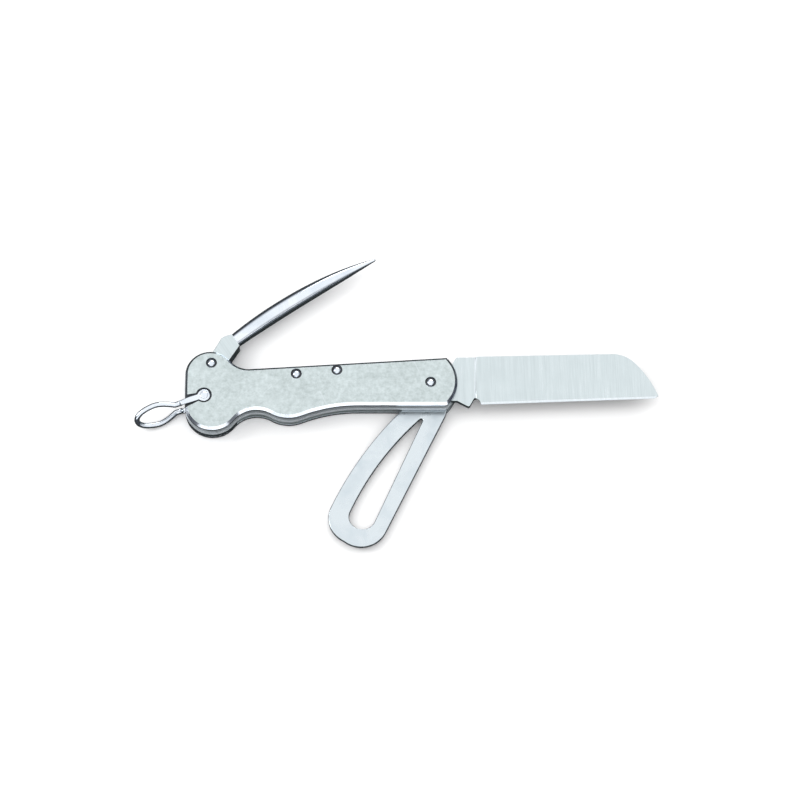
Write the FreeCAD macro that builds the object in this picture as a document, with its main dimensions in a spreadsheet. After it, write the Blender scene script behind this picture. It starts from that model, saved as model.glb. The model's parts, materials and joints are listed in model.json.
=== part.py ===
import FreeCAD, Part
import math
import os

import Sketcher

# A folding rigging knife, opened out.  Millimetres, +Z up.  The knife lies on its back scale.
# The origin is on the blade pivot's axis, at the outer face of the back scale, and the handle
# runs away from it towards -X.  The plates are stacked along Z: back scale, key well, centre
# liner, blade well, front scale.

# name, value, what it is
SIZES = [
    ("back_scale_thickness", 1.9, "back side plate"),
    ("front_scale_thickness", 1.9, "front side plate"),
    ("liner_thickness", 1.5, "centre liner between the two wells"),
    ("key_thickness", 1.9, "shackle key plate"),
    ("blade_thickness", 2.3, "blade at its spine and tang"),
    ("washer_thickness", 0.2, "shim beside a tang"),
    ("running_gap", 0.05, "air between a shim and its tang"),
    ("scale_bevel", 1.0, "polished bevel round the front scale"),
    ("back_bevel", 0.6, "bevel round the back scale"),
    ("handle_reach", 98.4, "blade pivot to the left end of the head"),
    ("nose_radius", 14.2, "rounding of the right end"),
    ("nose_corner", 6.4, "pivot to the corners of the right end, along X"),
    ("back_edge_height", 10.75, "pivot line to the back edge at the right end"),
    ("back_edge_fall", 4.85, "drop of the back edge from the right end to the valley"),
    ("belly_depth", 9.7, "pivot line down to the straight lower edge"),
    ("head_top_inset", 9.9, "radius of the head's upper lobe"),
    ("head_top_rise", 3.5, "pivot line to the centre of the upper lobe"),
    ("valley_inset", 25.9, "left end of the head to the straight back edge"),
    ("valley_radius", 10.0, "hollow behind the head on the back edge"),
    ("head_low_radius", 11.0, "radius of the head's lower lobe"),
    ("head_low_drop", 9.3, "pivot line down to the centre of the lower lobe"),
    ("waist_inset", 28.7, "left end of the head to the waist"),
    ("waist_radius", 11.4, "hollow of the waist"),
    ("crest_depth", 15.1, "pivot line down to the finger crest"),
    ("crest_radius", 14.0, "rounding of the finger crest"),
    ("sweep_radius", 60.0, "long hollow between crest and straight edge"),
    ("pivot_radius", 1.5, "shank of the blade and spike rivets"),
    ("spring_rivet_radius", 1.0, "shank of the two spring rivets"),
    ("bail_pin_radius", 1.1, "shank of the bail pin"),
    ("head_radius", 2.1, "rivet heads"),
    ("head_depth", 0.8, "part of a rivet head that is let into a scale"),
    ("head_dome", 0.35, "crown of a front rivet head"),
    ("fit_gap", 0.05, "air round a pin in its hole"),
    ("head_gap", 0.12, "air round a rivet head in its counterbore"),
    ("washer_radius", 4.2, "outer radius of the shims"),
    ("spike_pivot_inset", 10.4, "left end of the head to the spike pivot"),
    ("spike_pivot_height", 8.3, "pivot line up to the spike pivot"),
    ("rear_rivet_reach", 53.9, "blade pivot to the rear spring rivet"),
    ("rear_rivet_height", 3.6, "pivot line up to the rear spring rivet"),
    ("front_rivet_reach", 37.6, "blade pivot to the front spring rivet"),
    ("front_rivet_height", 5.2, "pivot line up to the front spring rivet"),
    ("bail_pin_inset", 7.6, "left end of the head to the bail pin"),
    ("bail_pin_drop", 5.6, "pivot line down to the bail pin"),
    ("blade_reach", 91.3, "pivot to the blade's point"),
    ("blade_spine_height", 12.4, "pivot line up to the spine"),
    ("blade_edge_drop", 8.5, "pivot line down to the heel of the edge"),
    ("blade_edge_rise", 2.6, "rise of the edge from heel to point"),
    ("blade_edge_width", 0.3, "thickness where the sharpening bevel starts"),
    ("blade_heel_reach", 20.3, "pivot to the heel of the edge"),
    ("tang_radius", 7.3, "blade tang under the spring"),
    ("tang_shoulder_reach", 10.4, "pivot to the tang's upper shoulder"),
    ("kick_reach", 15.4, "pivot to the kick"),
    ("kick_drop", 9.5, "pivot line down to the kick"),
    ("sharpening_height", 1.1, "width of the sharpening bevel"),
    ("spring_clearance", 0.25, "spring to tang"),
    ("spring_finger", 1.7, "depth of the spring's end over the spike's tang"),
    ("spring_arm", 2.3, "depth of the spring between its front rivet and the blade's tang"),
    ("spring_step_reach", 20.0, "pivot to where the spring thins over the kick"),
    ("plunge_drop", 0.95, "spine down to the top of the blade's shoulder"),
    ("plunge_width", 1.0, "width of the groove between tang and ground faces"),
    ("plunge_depth", 0.32, "depth of that groove"),
    ("tip_rise", 1.1, "height of the blade's blunt point"),
    ("tip_slope_reach", 9.9, "point back to where the tip's slope turns into the spine"),
    ("spike_tang_radius", 4.8, "spike tang round its pivot"),
    ("spike_block_reach", 14.0, "spike pivot to the shoulder of its tang"),
    ("spike_well_air", 0.5, "air round the spike's tang in the liner"),
    ("spike_well_fall", 3.0, "fall of the spike well's floor to the left end"),
    ("spike_reach", 81.0, "spike pivot to the point"),
    ("spike_radius", 3.4, "thickest part of the spike"),
    ("spike_bow_radius", 282.0, "bow of the spike"),
    ("spike_open_angle", 33.5, "turn of the spike from closed"),
    ("key_hub_radius", 9.0, "key tang round the blade pivot"),
    ("key_reach", 73.8, "blade pivot to the far end of the key"),
    ("key_end_radius", 10.8, "rounded corners of the key's far end"),
    ("key_end_width", 7.4, "plate beyond the key's slot"),
    ("key_far_depth", 18.7, "pivot line down to the key's far lower corner"),
    ("key_heel_depth", 11.7, "pivot line down to the key's lower edge near the pivot"),
    ("key_toe_radius", 8.9, "rounding of the lower edge near the pivot"),
    ("key_neck_radius", 8.0, "hollow between the key's hub and its upper leg"),
    ("key_bow_radius", 149.0, "bow of the key's upper edge"),
    ("key_bow_place", 42.3, "pivot to the top of that bow"),
    ("key_top_height", 7.2, "pivot line up to the top of that bow"),
    ("key_slot_radius", 5.3, "rounded end of the key's slot"),
    ("key_slot_depth", 7.2, "pivot line down to the middle of the slot's round end"),
    ("key_slot_bow_radius", 124.0, "bow of the slot's upper side"),
    ("key_apex_radius", 0.7, "apex of the slot"),
    ("key_apex_place", 13.8, "pivot to the apex of the slot"),
    ("key_apex_depth", 4.35, "pivot line down to the apex of the slot"),
    ("key_open_angle", 57.0, "turn of the key from closed"),
    ("key_edge_round", 0.45, "rounded edges of the key"),
    ("wire_radius", 1.1, "bail wire"),
    ("bail_eye_radius", 2.5, "eye of the bail"),
    ("bail_tab_thickness", 1.15, "flattened ends of the bail"),
    ("bail_tab_width", 2.4, "flattened ends of the bail"),
    ("bail_recess_depth", 1.3, "recess for the bail in each scale"),
    ("bail_recess_radius", 3.2, "round end of that recess"),
    ("bail_recess_play", 9.0, "swing that the recess allows each way"),
    ("bail_reach", 28.3, "bail pin to the middle of the wire at the far end"),
    ("bail_twist", 34.0, "twist of the loop about its length"),
    ("bail_droop", 19.0, "the bail hangs this far below the handle's line"),
    ("collar_radius", 1.8, "collar on the bail pin"),
    ("spacer_inset", 20.8, "left end of the head to the spacer's right edge"),
]


class Size:
    """A length that carries its number and the sheet expression that gives it."""

    def __init__(self, number, text):
        self.number = float(number)
        self.text = text

    def __add__(self, other):
        other = as_size(other)
        return Size(self.number + other.number, "(%s + %s)" % (self.text, other.text))

    def __sub__(self, other):
        other = as_size(other)
        return Size(self.number - other.number, "(%s - %s)" % (self.text, other.text))

    def __mul__(self, other):
        other = as_size(other)
        return Size(self.number * other.number, "(%s * %s)" % (self.text, other.text))

    def __truediv__(self, other):
        other = as_size(other)
        return Size(self.number / other.number, "(%s / %s)" % (self.text, other.text))

    def __neg__(self):
        return Size(-self.number, "(0 - %s)" % self.text)

    def __radd__(self, other):
        return as_size(other) + self

    def __rsub__(self, other):
        return as_size(other) - self

    def __rmul__(self, other):
        return as_size(other) * self


def as_size(value):
    """A plain number as a Size."""
    if isinstance(value, Size):
        return value
    return Size(value, "%.6g" % value)


def root(size):
    """Square root of a Size."""
    return Size(math.sqrt(size.number), "sqrt(%s)" % size.text)


def cosine(degrees):
    """Cosine of an angle Size in degrees."""
    return Size(math.cos(math.radians(degrees.number)), "cos(%s)" % degrees.text)


def sine(degrees):
    """Sine of an angle Size in degrees."""
    return Size(math.sin(math.radians(degrees.number)), "sin(%s)" % degrees.text)


doc = FreeCAD.newDocument("rigging_knife")
sheet = doc.addObject("Spreadsheet::Sheet", "Sizes")
size = {}
for row, (alias, value, note) in enumerate(SIZES, start=1):
    sheet.set("A%d" % row, note)
    sheet.set("B%d" % row, str(value))
    sheet.setAlias("B%d" % row, alias)
    size[alias] = Size(value, "Sizes." + alias)
doc.recompute()

# Heights of the layers above the table.
KEY_WELL = size["key_thickness"] + 2 * size["washer_thickness"] + 2 * size["running_gap"]
BLADE_WELL = size["blade_thickness"] + 2 * size["washer_thickness"] + 2 * size["running_gap"]
KEY_WELL_FLOOR = size["back_scale_thickness"]
LINER_FLOOR = KEY_WELL_FLOOR + KEY_WELL
BLADE_WELL_FLOOR = LINER_FLOOR + size["liner_thickness"]
FRONT_SCALE_FLOOR = BLADE_WELL_FLOOR + BLADE_WELL
TOP = FRONT_SCALE_FLOOR + size["front_scale_thickness"]
SHIM_AND_GAP = size["washer_thickness"] + size["running_gap"]

# Places of the pins.
HEAD_END = -size["handle_reach"]
BLADE_PIVOT = (as_size(0), as_size(0))
SPIKE_PIVOT = (HEAD_END + size["spike_pivot_inset"], size["spike_pivot_height"])
REAR_RIVET = (-size["rear_rivet_reach"], size["rear_rivet_height"])
FRONT_RIVET = (-size["front_rivet_reach"], size["front_rivet_height"])
BAIL_PIN = (HEAD_END + size["bail_pin_inset"], -size["bail_pin_drop"])

SUBPARTS = []
BEYOND = 10.0  # how far a cut runs past what it cuts
SHORT = 0.5    # a step too small to name by itself
LARGEST_HOLE = 4.5  # round edges up to this radius are holes, not outline


def new_body(label):
    """An empty body whose Label is its node's name."""
    body = doc.addObject("PartDesign::Body", label)
    body.Label = label
    SUBPARTS.append(body)
    return body


def place(body, x=None, y=None, z=None, turn=None):
    """Bind a body's Placement to the sheet."""
    body.Placement = FreeCAD.Placement(
        FreeCAD.Vector(0, 0, 0), FreeCAD.Rotation(FreeCAD.Vector(0, 0, 1), 1)
    )
    for axis, value in (("x", x), ("y", y), ("z", z)):
        if value is not None:
            body.setExpression("Placement.Base." + axis, as_size(value).text)
    angle = as_size(0) if turn is None else turn
    body.setExpression("Placement.Rotation.Angle", "%s * 1deg" % angle.text)


def new_sketch(body, role, name, offset=None):
    """A sketch on one of the body's own origin planes."""
    sketch = body.newObject("Sketcher::SketchObject", name)
    plane = [f for f in body.Origin.OriginFeatures if f.Role == role][0]
    sketch.AttachmentSupport = (plane, [""])
    sketch.MapMode = "FlatFace"
    if offset is not None:
        sketch.AttachmentOffset = offset
    return sketch


def bind(sketch, constraint, value):
    """Add a constraint and give it the value's expression."""
    index = sketch.addConstraint(constraint)
    if "Sizes" in value.text:
        sketch.setExpression("Constraints[%d]" % index, value.text)


def draw_circle(sketch, centre, radius):
    """A circle with its centre and radius bound."""
    x, y = as_size(centre[0]), as_size(centre[1])
    circle = Part.Circle(
        FreeCAD.Vector(x.number, y.number, 0), FreeCAD.Vector(0, 0, 1), radius.number
    )
    index = sketch.addGeometry(circle)
    bind(sketch, Sketcher.Constraint("DistanceX", index, 3, x.number), x)
    bind(sketch, Sketcher.Constraint("DistanceY", index, 3, y.number), y)
    bind(sketch, Sketcher.Constraint("Radius", index, radius.number), radius)


def arc_between(start, end, radius, leftward):
    """The shorter arc between two points that bends to the left or to the right."""
    chord = end - start
    across = FreeCAD.Vector(-chord.y, chord.x, 0).normalize()
    if chord.Length > 2 * radius * (1 + 1e-9):
        raise ValueError("an arc of radius %.3f can't span %.3f" % (radius, chord.Length))
    height = math.sqrt(max(radius * radius - chord.Length * chord.Length / 4, 0))
    side = 1 if leftward else -1
    centre = (start + end) * 0.5 + across * (side * height)
    first, last = (start, end) if leftward else (end, start)
    a0 = math.atan2(first.y - centre.y, first.x - centre.x)
    a1 = math.atan2(last.y - centre.y, last.x - centre.x)
    if a1 < a0:
        a1 += 2 * math.pi
    circle = Part.Circle(centre, FreeCAD.Vector(0, 0, 1), radius)
    return Part.ArcOfCircle(circle, a0, a1)


def draw_outline(sketch, corners):
    """Close an outline.  A corner is (x, y) or (x, y, bend): bend is the radius of the edge that
    leaves the corner, positive when that edge curves to the left."""
    points = []
    for corner in corners:
        x, y = as_size(corner[0]), as_size(corner[1])
        bend = corner[2] if len(corner) > 2 else None
        points.append((x, y, bend))
    vectors = [FreeCAD.Vector(x.number, y.number, 0) for x, y, _ in points]
    edges = []
    for number, (x, y, bend) in enumerate(points):
        start, end = vectors[number], vectors[(number + 1) % len(points)]
        if bend is None:
            edges.append((sketch.addGeometry(Part.LineSegment(start, end)), 1, 2))
            continue
        bend = as_size(bend)
        leftward = bend.number > 0
        radius = bend if leftward else -bend
        index = sketch.addGeometry(arc_between(start, end, radius.number, leftward))
        edges.append((index, 1, 2) if leftward else (index, 2, 1))
    for number, (index, first, last) in enumerate(edges):
        after = edges[(number + 1) % len(edges)]
        sketch.addConstraint(Sketcher.Constraint("Coincident", index, last, after[0], after[1]))
        x, y, bend = points[number]
        bind(sketch, Sketcher.Constraint("DistanceX", index, first, x.number), x)
        bind(sketch, Sketcher.Constraint("DistanceY", index, first, y.number), y)
        if bend is not None:
            bend = as_size(bend)
            radius = bend if bend.number > 0 else -bend
            bind(sketch, Sketcher.Constraint("Radius", index, radius.number), radius)


def pad(body, sketch, height):
    """Raise a sketch along its normal."""
    feature = body.newObject("PartDesign::Pad", "Pad")
    feature.Profile = sketch
    feature.setExpression("Length", as_size(height).text)
    doc.recompute()
    return feature


def pocket(body, sketch, depth, reverse=False):
    """Cut a sketch out of the body; it is an error for the cut to miss."""
    before = body.Shape.Volume
    feature = body.newObject("PartDesign::Pocket", "Pocket")
    feature.Profile = sketch
    feature.setExpression("Length", as_size(depth).text)
    feature.Reversed = reverse
    doc.recompute()
    if body.Shape.Volume > before - 1e-3:
        raise RuntimeError("the cut %s misses %s" % (sketch.Name, body.Label))
    return feature


def edges_on_outline(shape, height, inner_radius):
    """Names of the edges at one height, leaving out full circles up to inner_radius."""
    names = []
    for number, edge in enumerate(shape.Edges, start=1):
        box = edge.BoundBox
        level = abs(box.ZMin - height) < 1e-4 and abs(box.ZMax - height) < 1e-4
        round_edge = edge.isClosed() and isinstance(edge.Curve, Part.Circle)
        hole = round_edge and edge.Curve.Radius <= inner_radius
        if level and not hole:
            names.append("Edge%d" % number)
    return names


def bevel(body, height, amount, kind="PartDesign::Chamfer"):
    """Chamfer or fillet the outline of the plate at one height."""
    base = body.Tip
    names = edges_on_outline(base.Shape, height, LARGEST_HOLE)
    feature = body.newObject(kind, "Bevel")
    feature.Base = (base, names)
    feature.setExpression("Size" if kind.endswith("Chamfer") else "Radius", amount.text)
    doc.recompute()


def touching(one, one_radius, other, other_radius):
    """Where two circles, given by centres and radii, touch between their centres."""
    share = one_radius / (one_radius + other_radius)
    return (one[0] + (other[0] - one[0]) * share, one[1] + (other[1] - one[1]) * share)


def back_edge(x):
    """Height of the straight back edge at x."""
    run = size["handle_reach"] - size["valley_inset"] + size["nose_corner"]
    slope = size["back_edge_fall"] / run
    return size["back_edge_height"] - (size["nose_corner"] - as_size(x)) * slope


def handle_corners():
    """The handle's outline, anticlockwise from the top of the head's left side."""
    low = (HEAD_END + size["head_low_radius"], -size["head_low_drop"])
    waist_reach = size["head_low_radius"] + size["waist_radius"]
    waist_x = HEAD_END + size["waist_inset"]
    across = waist_x - low[0]
    waist = (waist_x, low[1] - root(waist_reach * waist_reach - across * across))
    crest_y = size["crest_radius"] - size["crest_depth"]
    crest_reach = size["waist_radius"] + size["crest_radius"]
    rise = crest_y - waist[1]
    crest = (waist_x + root(crest_reach * crest_reach - rise * rise), crest_y)
    sweep_y = -size["belly_depth"] - size["sweep_radius"]
    sweep_reach = size["crest_radius"] + size["sweep_radius"]
    fall = crest_y - sweep_y
    sweep = (crest[0] + root(sweep_reach * sweep_reach - fall * fall), sweep_y)
    top = (HEAD_END + size["head_top_inset"], size["head_top_rise"])
    valley_reach = size["head_top_inset"] + size["valley_radius"]
    valley_y = back_edge(HEAD_END + size["valley_inset"]) + size["valley_radius"]
    lift = valley_y - top[1]
    valley = (top[0] + root(valley_reach * valley_reach - lift * lift), valley_y)
    head_out = touching(top, size["head_top_inset"], valley, size["valley_radius"])
    low_out = touching(low, size["head_low_radius"], waist, size["waist_radius"])
    waist_out = touching(waist, size["waist_radius"], crest, size["crest_radius"])
    crest_out = touching(crest, size["crest_radius"], sweep, size["sweep_radius"])
    return [
        (HEAD_END, top[1]),
        (HEAD_END, low[1], size["head_low_radius"]),
        (low[0], low[1] - size["head_low_radius"], size["head_low_radius"]),
        (low_out[0], low_out[1], -size["waist_radius"]),
        (waist_out[0], waist_out[1], size["crest_radius"]),
        (crest_out[0], crest_out[1], -size["sweep_radius"]),
        (sweep[0], -size["belly_depth"]),
        (size["nose_corner"], -size["belly_depth"], size["nose_radius"]),
        (size["nose_corner"], back_edge(size["nose_corner"])),
        (valley[0], back_edge(valley[0]), -size["valley_radius"]),
        (head_out[0], head_out[1], size["head_top_inset"]),
    ]


def spike_well_corners():
    """The space round the spike's tang that the liner and the spacer leave, from the spike pivot.

    Its lower side follows the tang's lower flank when the spike is closed and, to the left, the
    tang's upper flank when the spike points away from the blade."""
    x, y = SPIKE_PIVOT
    gap = size["spike_tang_radius"] + size["spike_well_air"]
    left = HEAD_END - BEYOND
    far_floor = size["spike_tang_radius"] * 0.115
    return [
        (left, y - gap - size["spike_well_fall"]),
        (x - SHORT * 2, y - gap),
        (x + SHORT * 2, y - gap + SHORT * 0.3),
        (x + size["spike_block_reach"], y + far_floor),
        (x + size["spike_block_reach"], y + BEYOND),
        (left, y + BEYOND),
    ]


def cut_spike_well(body, depth):
    """Open a plate round the spike's tang."""
    well = new_sketch(body, "XY_Plane", "SpikeWell")
    draw_outline(well, spike_well_corners())
    pocket(body, well, depth, reverse=True)


def plate(label, floor, thickness, holes):
    """A plate with the handle's outline and round holes: (centre, radius)."""
    body = new_body(label)
    outline = new_sketch(body, "XY_Plane", "Outline")
    draw_outline(outline, handle_corners())
    for centre, radius in holes:
        draw_circle(outline, centre, radius)
    pad(body, outline, thickness)
    place(body, z=floor)
    return body


def at_height(height):
    """An offset that lifts a sketch on the XY plane."""
    return FreeCAD.Placement(FreeCAD.Vector(0, 0, height.number), FreeCAD.Rotation())


def lifted_sketch(body, name, height):
    """A sketch above the XY plane, with its height bound."""
    sketch = new_sketch(body, "XY_Plane", name, at_height(height))
    sketch.setExpression("AttachmentOffset.Base.z", height.text)
    return sketch


def cut_rounds(body, name, height, rounds, depth, reverse=False):
    """Cut round holes down from a height (or up, reversed)."""
    sketch = lifted_sketch(body, name, height)
    for centre, radius in rounds:
        draw_circle(sketch, centre, radius)
    pocket(body, sketch, depth, reverse)


def recess_neck_corners():
    """The channel from the bail pin to the head's left end, as wide as the bail's swing needs."""
    x, y = BAIL_PIN
    half = size["bail_tab_width"] / 2 + size["head_gap"]
    reach = size["bail_pin_inset"] + BEYOND
    corners = []
    for side in (-1, 1):
        angle = size["bail_droop"] + size["bail_recess_play"] * side
        along_x, along_y = -cosine(angle), -sine(angle)
        off_x, off_y = along_y * half * side, -along_x * half * side
        near = (x - off_x, y - off_y)
        far = (near[0] + along_x * reach, near[1] + along_y * reach)
        corners.append((near, far))
    (upper_near, upper_far), (lower_near, lower_far) = corners
    return [upper_near, upper_far, lower_far, lower_near]


def cut_bail_recess(body, height, reverse):
    """The keyhole-shaped recess that the bail's eye and flattened end lie in."""
    depth = size["bail_recess_depth"]
    cut_rounds(body, "EyeRecess", height, [(BAIL_PIN, size["bail_recess_radius"])], depth, reverse)
    neck = lifted_sketch(body, "NeckRecess", height)
    draw_outline(neck, recess_neck_corners())
    pocket(body, neck, depth, reverse)


def shank_hole(place_of_pin, radius):
    """A hole with the fit's air round a pin."""
    return (place_of_pin, radius + size["fit_gap"])


ALL_HOLES = [
    shank_hole(BLADE_PIVOT, size["pivot_radius"]),
    shank_hole(SPIKE_PIVOT, size["pivot_radius"]),
    shank_hole(REAR_RIVET, size["spring_rivet_radius"]),
    shank_hole(FRONT_RIVET, size["spring_rivet_radius"]),
    shank_hole(BAIL_PIN, size["bail_pin_radius"]),
]
COUNTERBORE = size["head_radius"] + size["head_gap"]


def front_scale():
    """The blasted front plate: polished bevel, four counterbores and the bail's recess."""
    thickness = size["front_scale_thickness"]
    body = plate("front_scale", FRONT_SCALE_FLOOR, thickness, ALL_HOLES)
    bevel(body, thickness.number, size["scale_bevel"])
    heads = [BLADE_PIVOT, SPIKE_PIVOT, REAR_RIVET, FRONT_RIVET]
    rounds = [(centre, COUNTERBORE) for centre in heads]
    cut_rounds(body, "Counterbores", thickness, rounds, size["head_depth"])
    cut_bail_recess(body, thickness, reverse=False)


def back_scale():
    """The back plate, flat on the table, with two counterbores and the bail's recess."""
    holes = [ALL_HOLES[0], ALL_HOLES[1], ALL_HOLES[4]]
    body = plate("back_scale", as_size(0), size["back_scale_thickness"], holes)
    bevel(body, 0.0, size["back_bevel"])
    rounds = [(BLADE_PIVOT, COUNTERBORE), (SPIKE_PIVOT, COUNTERBORE)]
    cut_rounds(body, "Counterbores", as_size(0), rounds, size["head_depth"], reverse=True)
    cut_bail_recess(body, as_size(0), reverse=True)


def centre_liner():
    """The divider between the two wells, open round the spike's tang."""
    holes = [ALL_HOLES[0], ALL_HOLES[2], ALL_HOLES[3], ALL_HOLES[4]]
    body = plate("centre_liner", LINER_FLOOR, size["liner_thickness"], holes)
    cut_spike_well(body, size["liner_thickness"])
    rounds = [(REAR_RIVET, COUNTERBORE), (FRONT_RIVET, COUNTERBORE)]
    cut_rounds(body, "Counterbores", as_size(0), rounds, size["head_depth"], reverse=True)


def head_spacer():
    """Fills the key well at the head, round the bail pin."""
    body = plate("head_spacer", KEY_WELL_FLOOR, KEY_WELL, [ALL_HOLES[4]])
    cut_spike_well(body, KEY_WELL)
    right = new_sketch(body, "XY_Plane", "KeySide")
    edge = HEAD_END + size["spacer_inset"]
    draw_outline(right, [
        (edge, -4 * BEYOND),
        (4 * BEYOND, -4 * BEYOND),
        (4 * BEYOND, 4 * BEYOND),
        (edge, 4 * BEYOND),
    ])
    pocket(body, right, KEY_WELL, reverse=True)


def backspring():
    """The spring in the blade well: riveted in the middle, thin towards both tangs."""
    body = new_body("backspring")
    outline = new_sketch(body, "XY_Plane", "Outline")
    tang_top = size["tang_radius"] + size["spring_clearance"]
    spike_x, spike_y = SPIKE_PIVOT
    valley_x = HEAD_END + size["valley_inset"]
    front_x, front_y = FRONT_RIVET
    rear_x, rear_y = REAR_RIVET
    finger_tip = spike_x + 1.5
    finger_top = spike_y - size["spike_tang_radius"] - size["spring_clearance"]
    draw_outline(outline, [
        (size["nose_corner"] + 0.8, back_edge(size["nose_corner"]) - 0.1),
        (valley_x, back_edge(valley_x)),
        (valley_x - 4.0, back_edge(valley_x) + 0.35),
        (valley_x - 6.6, back_edge(valley_x) + 0.2),
        (finger_tip, finger_top),
        (finger_tip, finger_top - size["spring_finger"], 1.5),
        (finger_tip + 1.8, finger_top - 2.4),
        (rear_x - 6.0, rear_y - 1.9, -8.0),
        (rear_x - 3.4, rear_y - 2.9),
        (front_x + 3.4, front_y - 1.3, -4.0),
        (front_x + 8.0, back_edge(front_x + 8.0) - size["spring_arm"]),
        (-size["spring_step_reach"], tang_top),
        (size["nose_corner"] + 0.8, tang_top),
    ])
    draw_circle(outline, REAR_RIVET, size["spring_rivet_radius"] + size["fit_gap"])
    draw_circle(outline, FRONT_RIVET, size["spring_rivet_radius"] + size["fit_gap"])
    pad(body, outline, BLADE_WELL)
    place(body, z=BLADE_WELL_FLOOR)


def blade():
    """Sheepfoot blade, opened: tang and kick, ground faces, sharpening bevel."""
    body = new_body("blade")
    outline = new_sketch(body, "XY_Plane", "Outline")
    spine = size["blade_spine_height"]
    heel, drop = size["blade_heel_reach"], size["blade_edge_drop"]
    point = size["blade_reach"]
    point_y = size["blade_edge_rise"] - drop
    tang = size["tang_radius"]
    kick = size["kick_reach"]
    draw_outline(outline, [
        (0, tang, tang),
        (-tang, 0, tang),
        (0, -tang),
        (tang * 1.45, -tang),
        (kick - 0.8, -size["kick_drop"], 0.9),
        (kick + 0.2, -size["kick_drop"]),
        (kick + 2.0, -drop + 2.3, -1.8),
        (heel - 0.6, -drop + 1.5),
        (heel, -drop),
        (point - 1.4, point_y),
        (point, point_y + size["tip_rise"], 42.0),
        (point - size["tip_slope_reach"], spine - 2.6, 12.0),
        (point - 18.0, spine + 0.55),
        (kick + 3.0, spine - 0.6),
        (kick + 2.4, spine - size["plunge_drop"]),
        (size["tang_shoulder_reach"], spine - size["plunge_drop"]),
        (size["nose_corner"] + 1.6, tang),
    ])
    draw_circle(outline, BLADE_PIVOT, size["pivot_radius"] + size["fit_gap"])
    pad(body, outline, size["blade_thickness"])
    grind_blade(body)
    cut_plunge(body)
    place(body, z=BLADE_WELL_FLOOR + SHIM_AND_GAP)


def cut_plunge(body):
    """A V-shaped groove across both faces where the tang ends and the ground faces start."""
    middle = size["blade_heel_reach"] - 2.2
    half, deep = size["plunge_width"] / 2, size["plunge_depth"]
    far_side = FreeCAD.Placement(FreeCAD.Vector(0, 0, 2 * BEYOND), FreeCAD.Rotation())
    for side in ("Lower", "Upper"):
        face = as_size(0) if side == "Lower" else size["blade_thickness"]
        step = 1 if side == "Lower" else -1
        sketch = new_sketch(body, "XZ_Plane", "Plunge" + side, far_side)
        draw_outline(sketch, [
            (middle - half, face - deep * step),
            (middle - half, face),
            (middle, face + deep * step),
            (middle + half, face),
            (middle + half, face - deep * step),
        ])
        pocket(body, sketch, 4 * BEYOND)


def grind_blade(body):
    """Grind both faces to a wedge, and then the narrow sharpening bevel, along the edge's line."""
    thickness = size["blade_thickness"]
    heel = size["blade_heel_reach"]
    slope = math.degrees(math.atan2(
        size["blade_edge_rise"].number, size["blade_reach"].number - heel.number
    ))
    drop = size["blade_edge_drop"]
    thin = (thickness - size["blade_edge_width"]) / 2
    keen = size["sharpening_height"]
    top = size["blade_spine_height"] - 1.6
    for side in ("Lower", "Upper"):
        face = as_size(0) if side == "Lower" else thickness
        step = 1 if side == "Lower" else -1
        for name, start, corner_y, depth_there in (
            ("Grind", heel - 2.2, top, thin),
            ("Edge", heel - 0.4, keen - drop, size["blade_thickness"] / 2 - 0.04),
        ):
            turned = FreeCAD.Rotation(FreeCAD.Vector(0, 1, 0), slope)
            offset = FreeCAD.Placement(FreeCAD.Vector(0, 0, start.number), turned)
            sketch = new_sketch(body, "YZ_Plane", name + side, offset)
            sketch.setExpression("AttachmentOffset.Base.z", start.text)
            if name == "Grind":
                outline = [
                    (corner_y, face),
                    (-drop - SHORT, face + thin * 1.03 * step),
                    (-drop - SHORT, face - SHORT * step),
                    (corner_y, face - SHORT * step),
                ]
            else:
                outline = [
                    (corner_y, face + thin * 0.93 * step),
                    (-drop, face + depth_there * step),
                    (-drop - 1.0, face + depth_there * step),
                    (-drop - 1.0, face + thin * 0.93 * step),
                ]
            draw_outline(sketch, outline)
            pocket(body, sketch, size["blade_reach"] + BEYOND, reverse=True)


def marlin_spike():
    """Flat tang and a round, bowed and tapered spike, drawn closed and then opened."""
    body = new_body("marlin_spike")
    outline = new_sketch(body, "XY_Plane", "Tang")
    disc = size["spike_tang_radius"]
    block = size["spike_block_reach"]
    draw_outline(outline, [
        (disc * 0.5446, disc * 0.8387, disc),
        (-disc * 0.7071, disc * 0.7071, disc),
        (-disc * 0.9, -disc * 0.4359, disc),
        (disc * 0.4, -disc * 0.9165),
        (block, disc * 0.19),
        (block, disc * 1.42),
        (block - 2.6, disc * 1.56, 3.0),
        (block - 4.8, disc * 1.55),
    ])
    draw_circle(outline, BLADE_PIVOT, size["pivot_radius"] + size["fit_gap"])
    thickness = TOP - size["back_scale_thickness"] - size["front_scale_thickness"] - 2 * SHIM_AND_GAP
    pad(body, outline, thickness)
    loft = body.newObject("PartDesign::AdditiveLoft", "Spike")
    sections = spike_sections(body, thickness)
    loft.Profile = sections[0]
    loft.Sections = sections[1:]
    doc.recompute()
    round_spike_point(body)
    place(
        body, x=SPIKE_PIVOT[0], y=SPIKE_PIVOT[1], z=KEY_WELL_FLOOR + SHIM_AND_GAP,
        turn=size["spike_open_angle"],
    )


SPIKE_CREST = 0.42  # share of the spike's length at which its bow is highest


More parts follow.
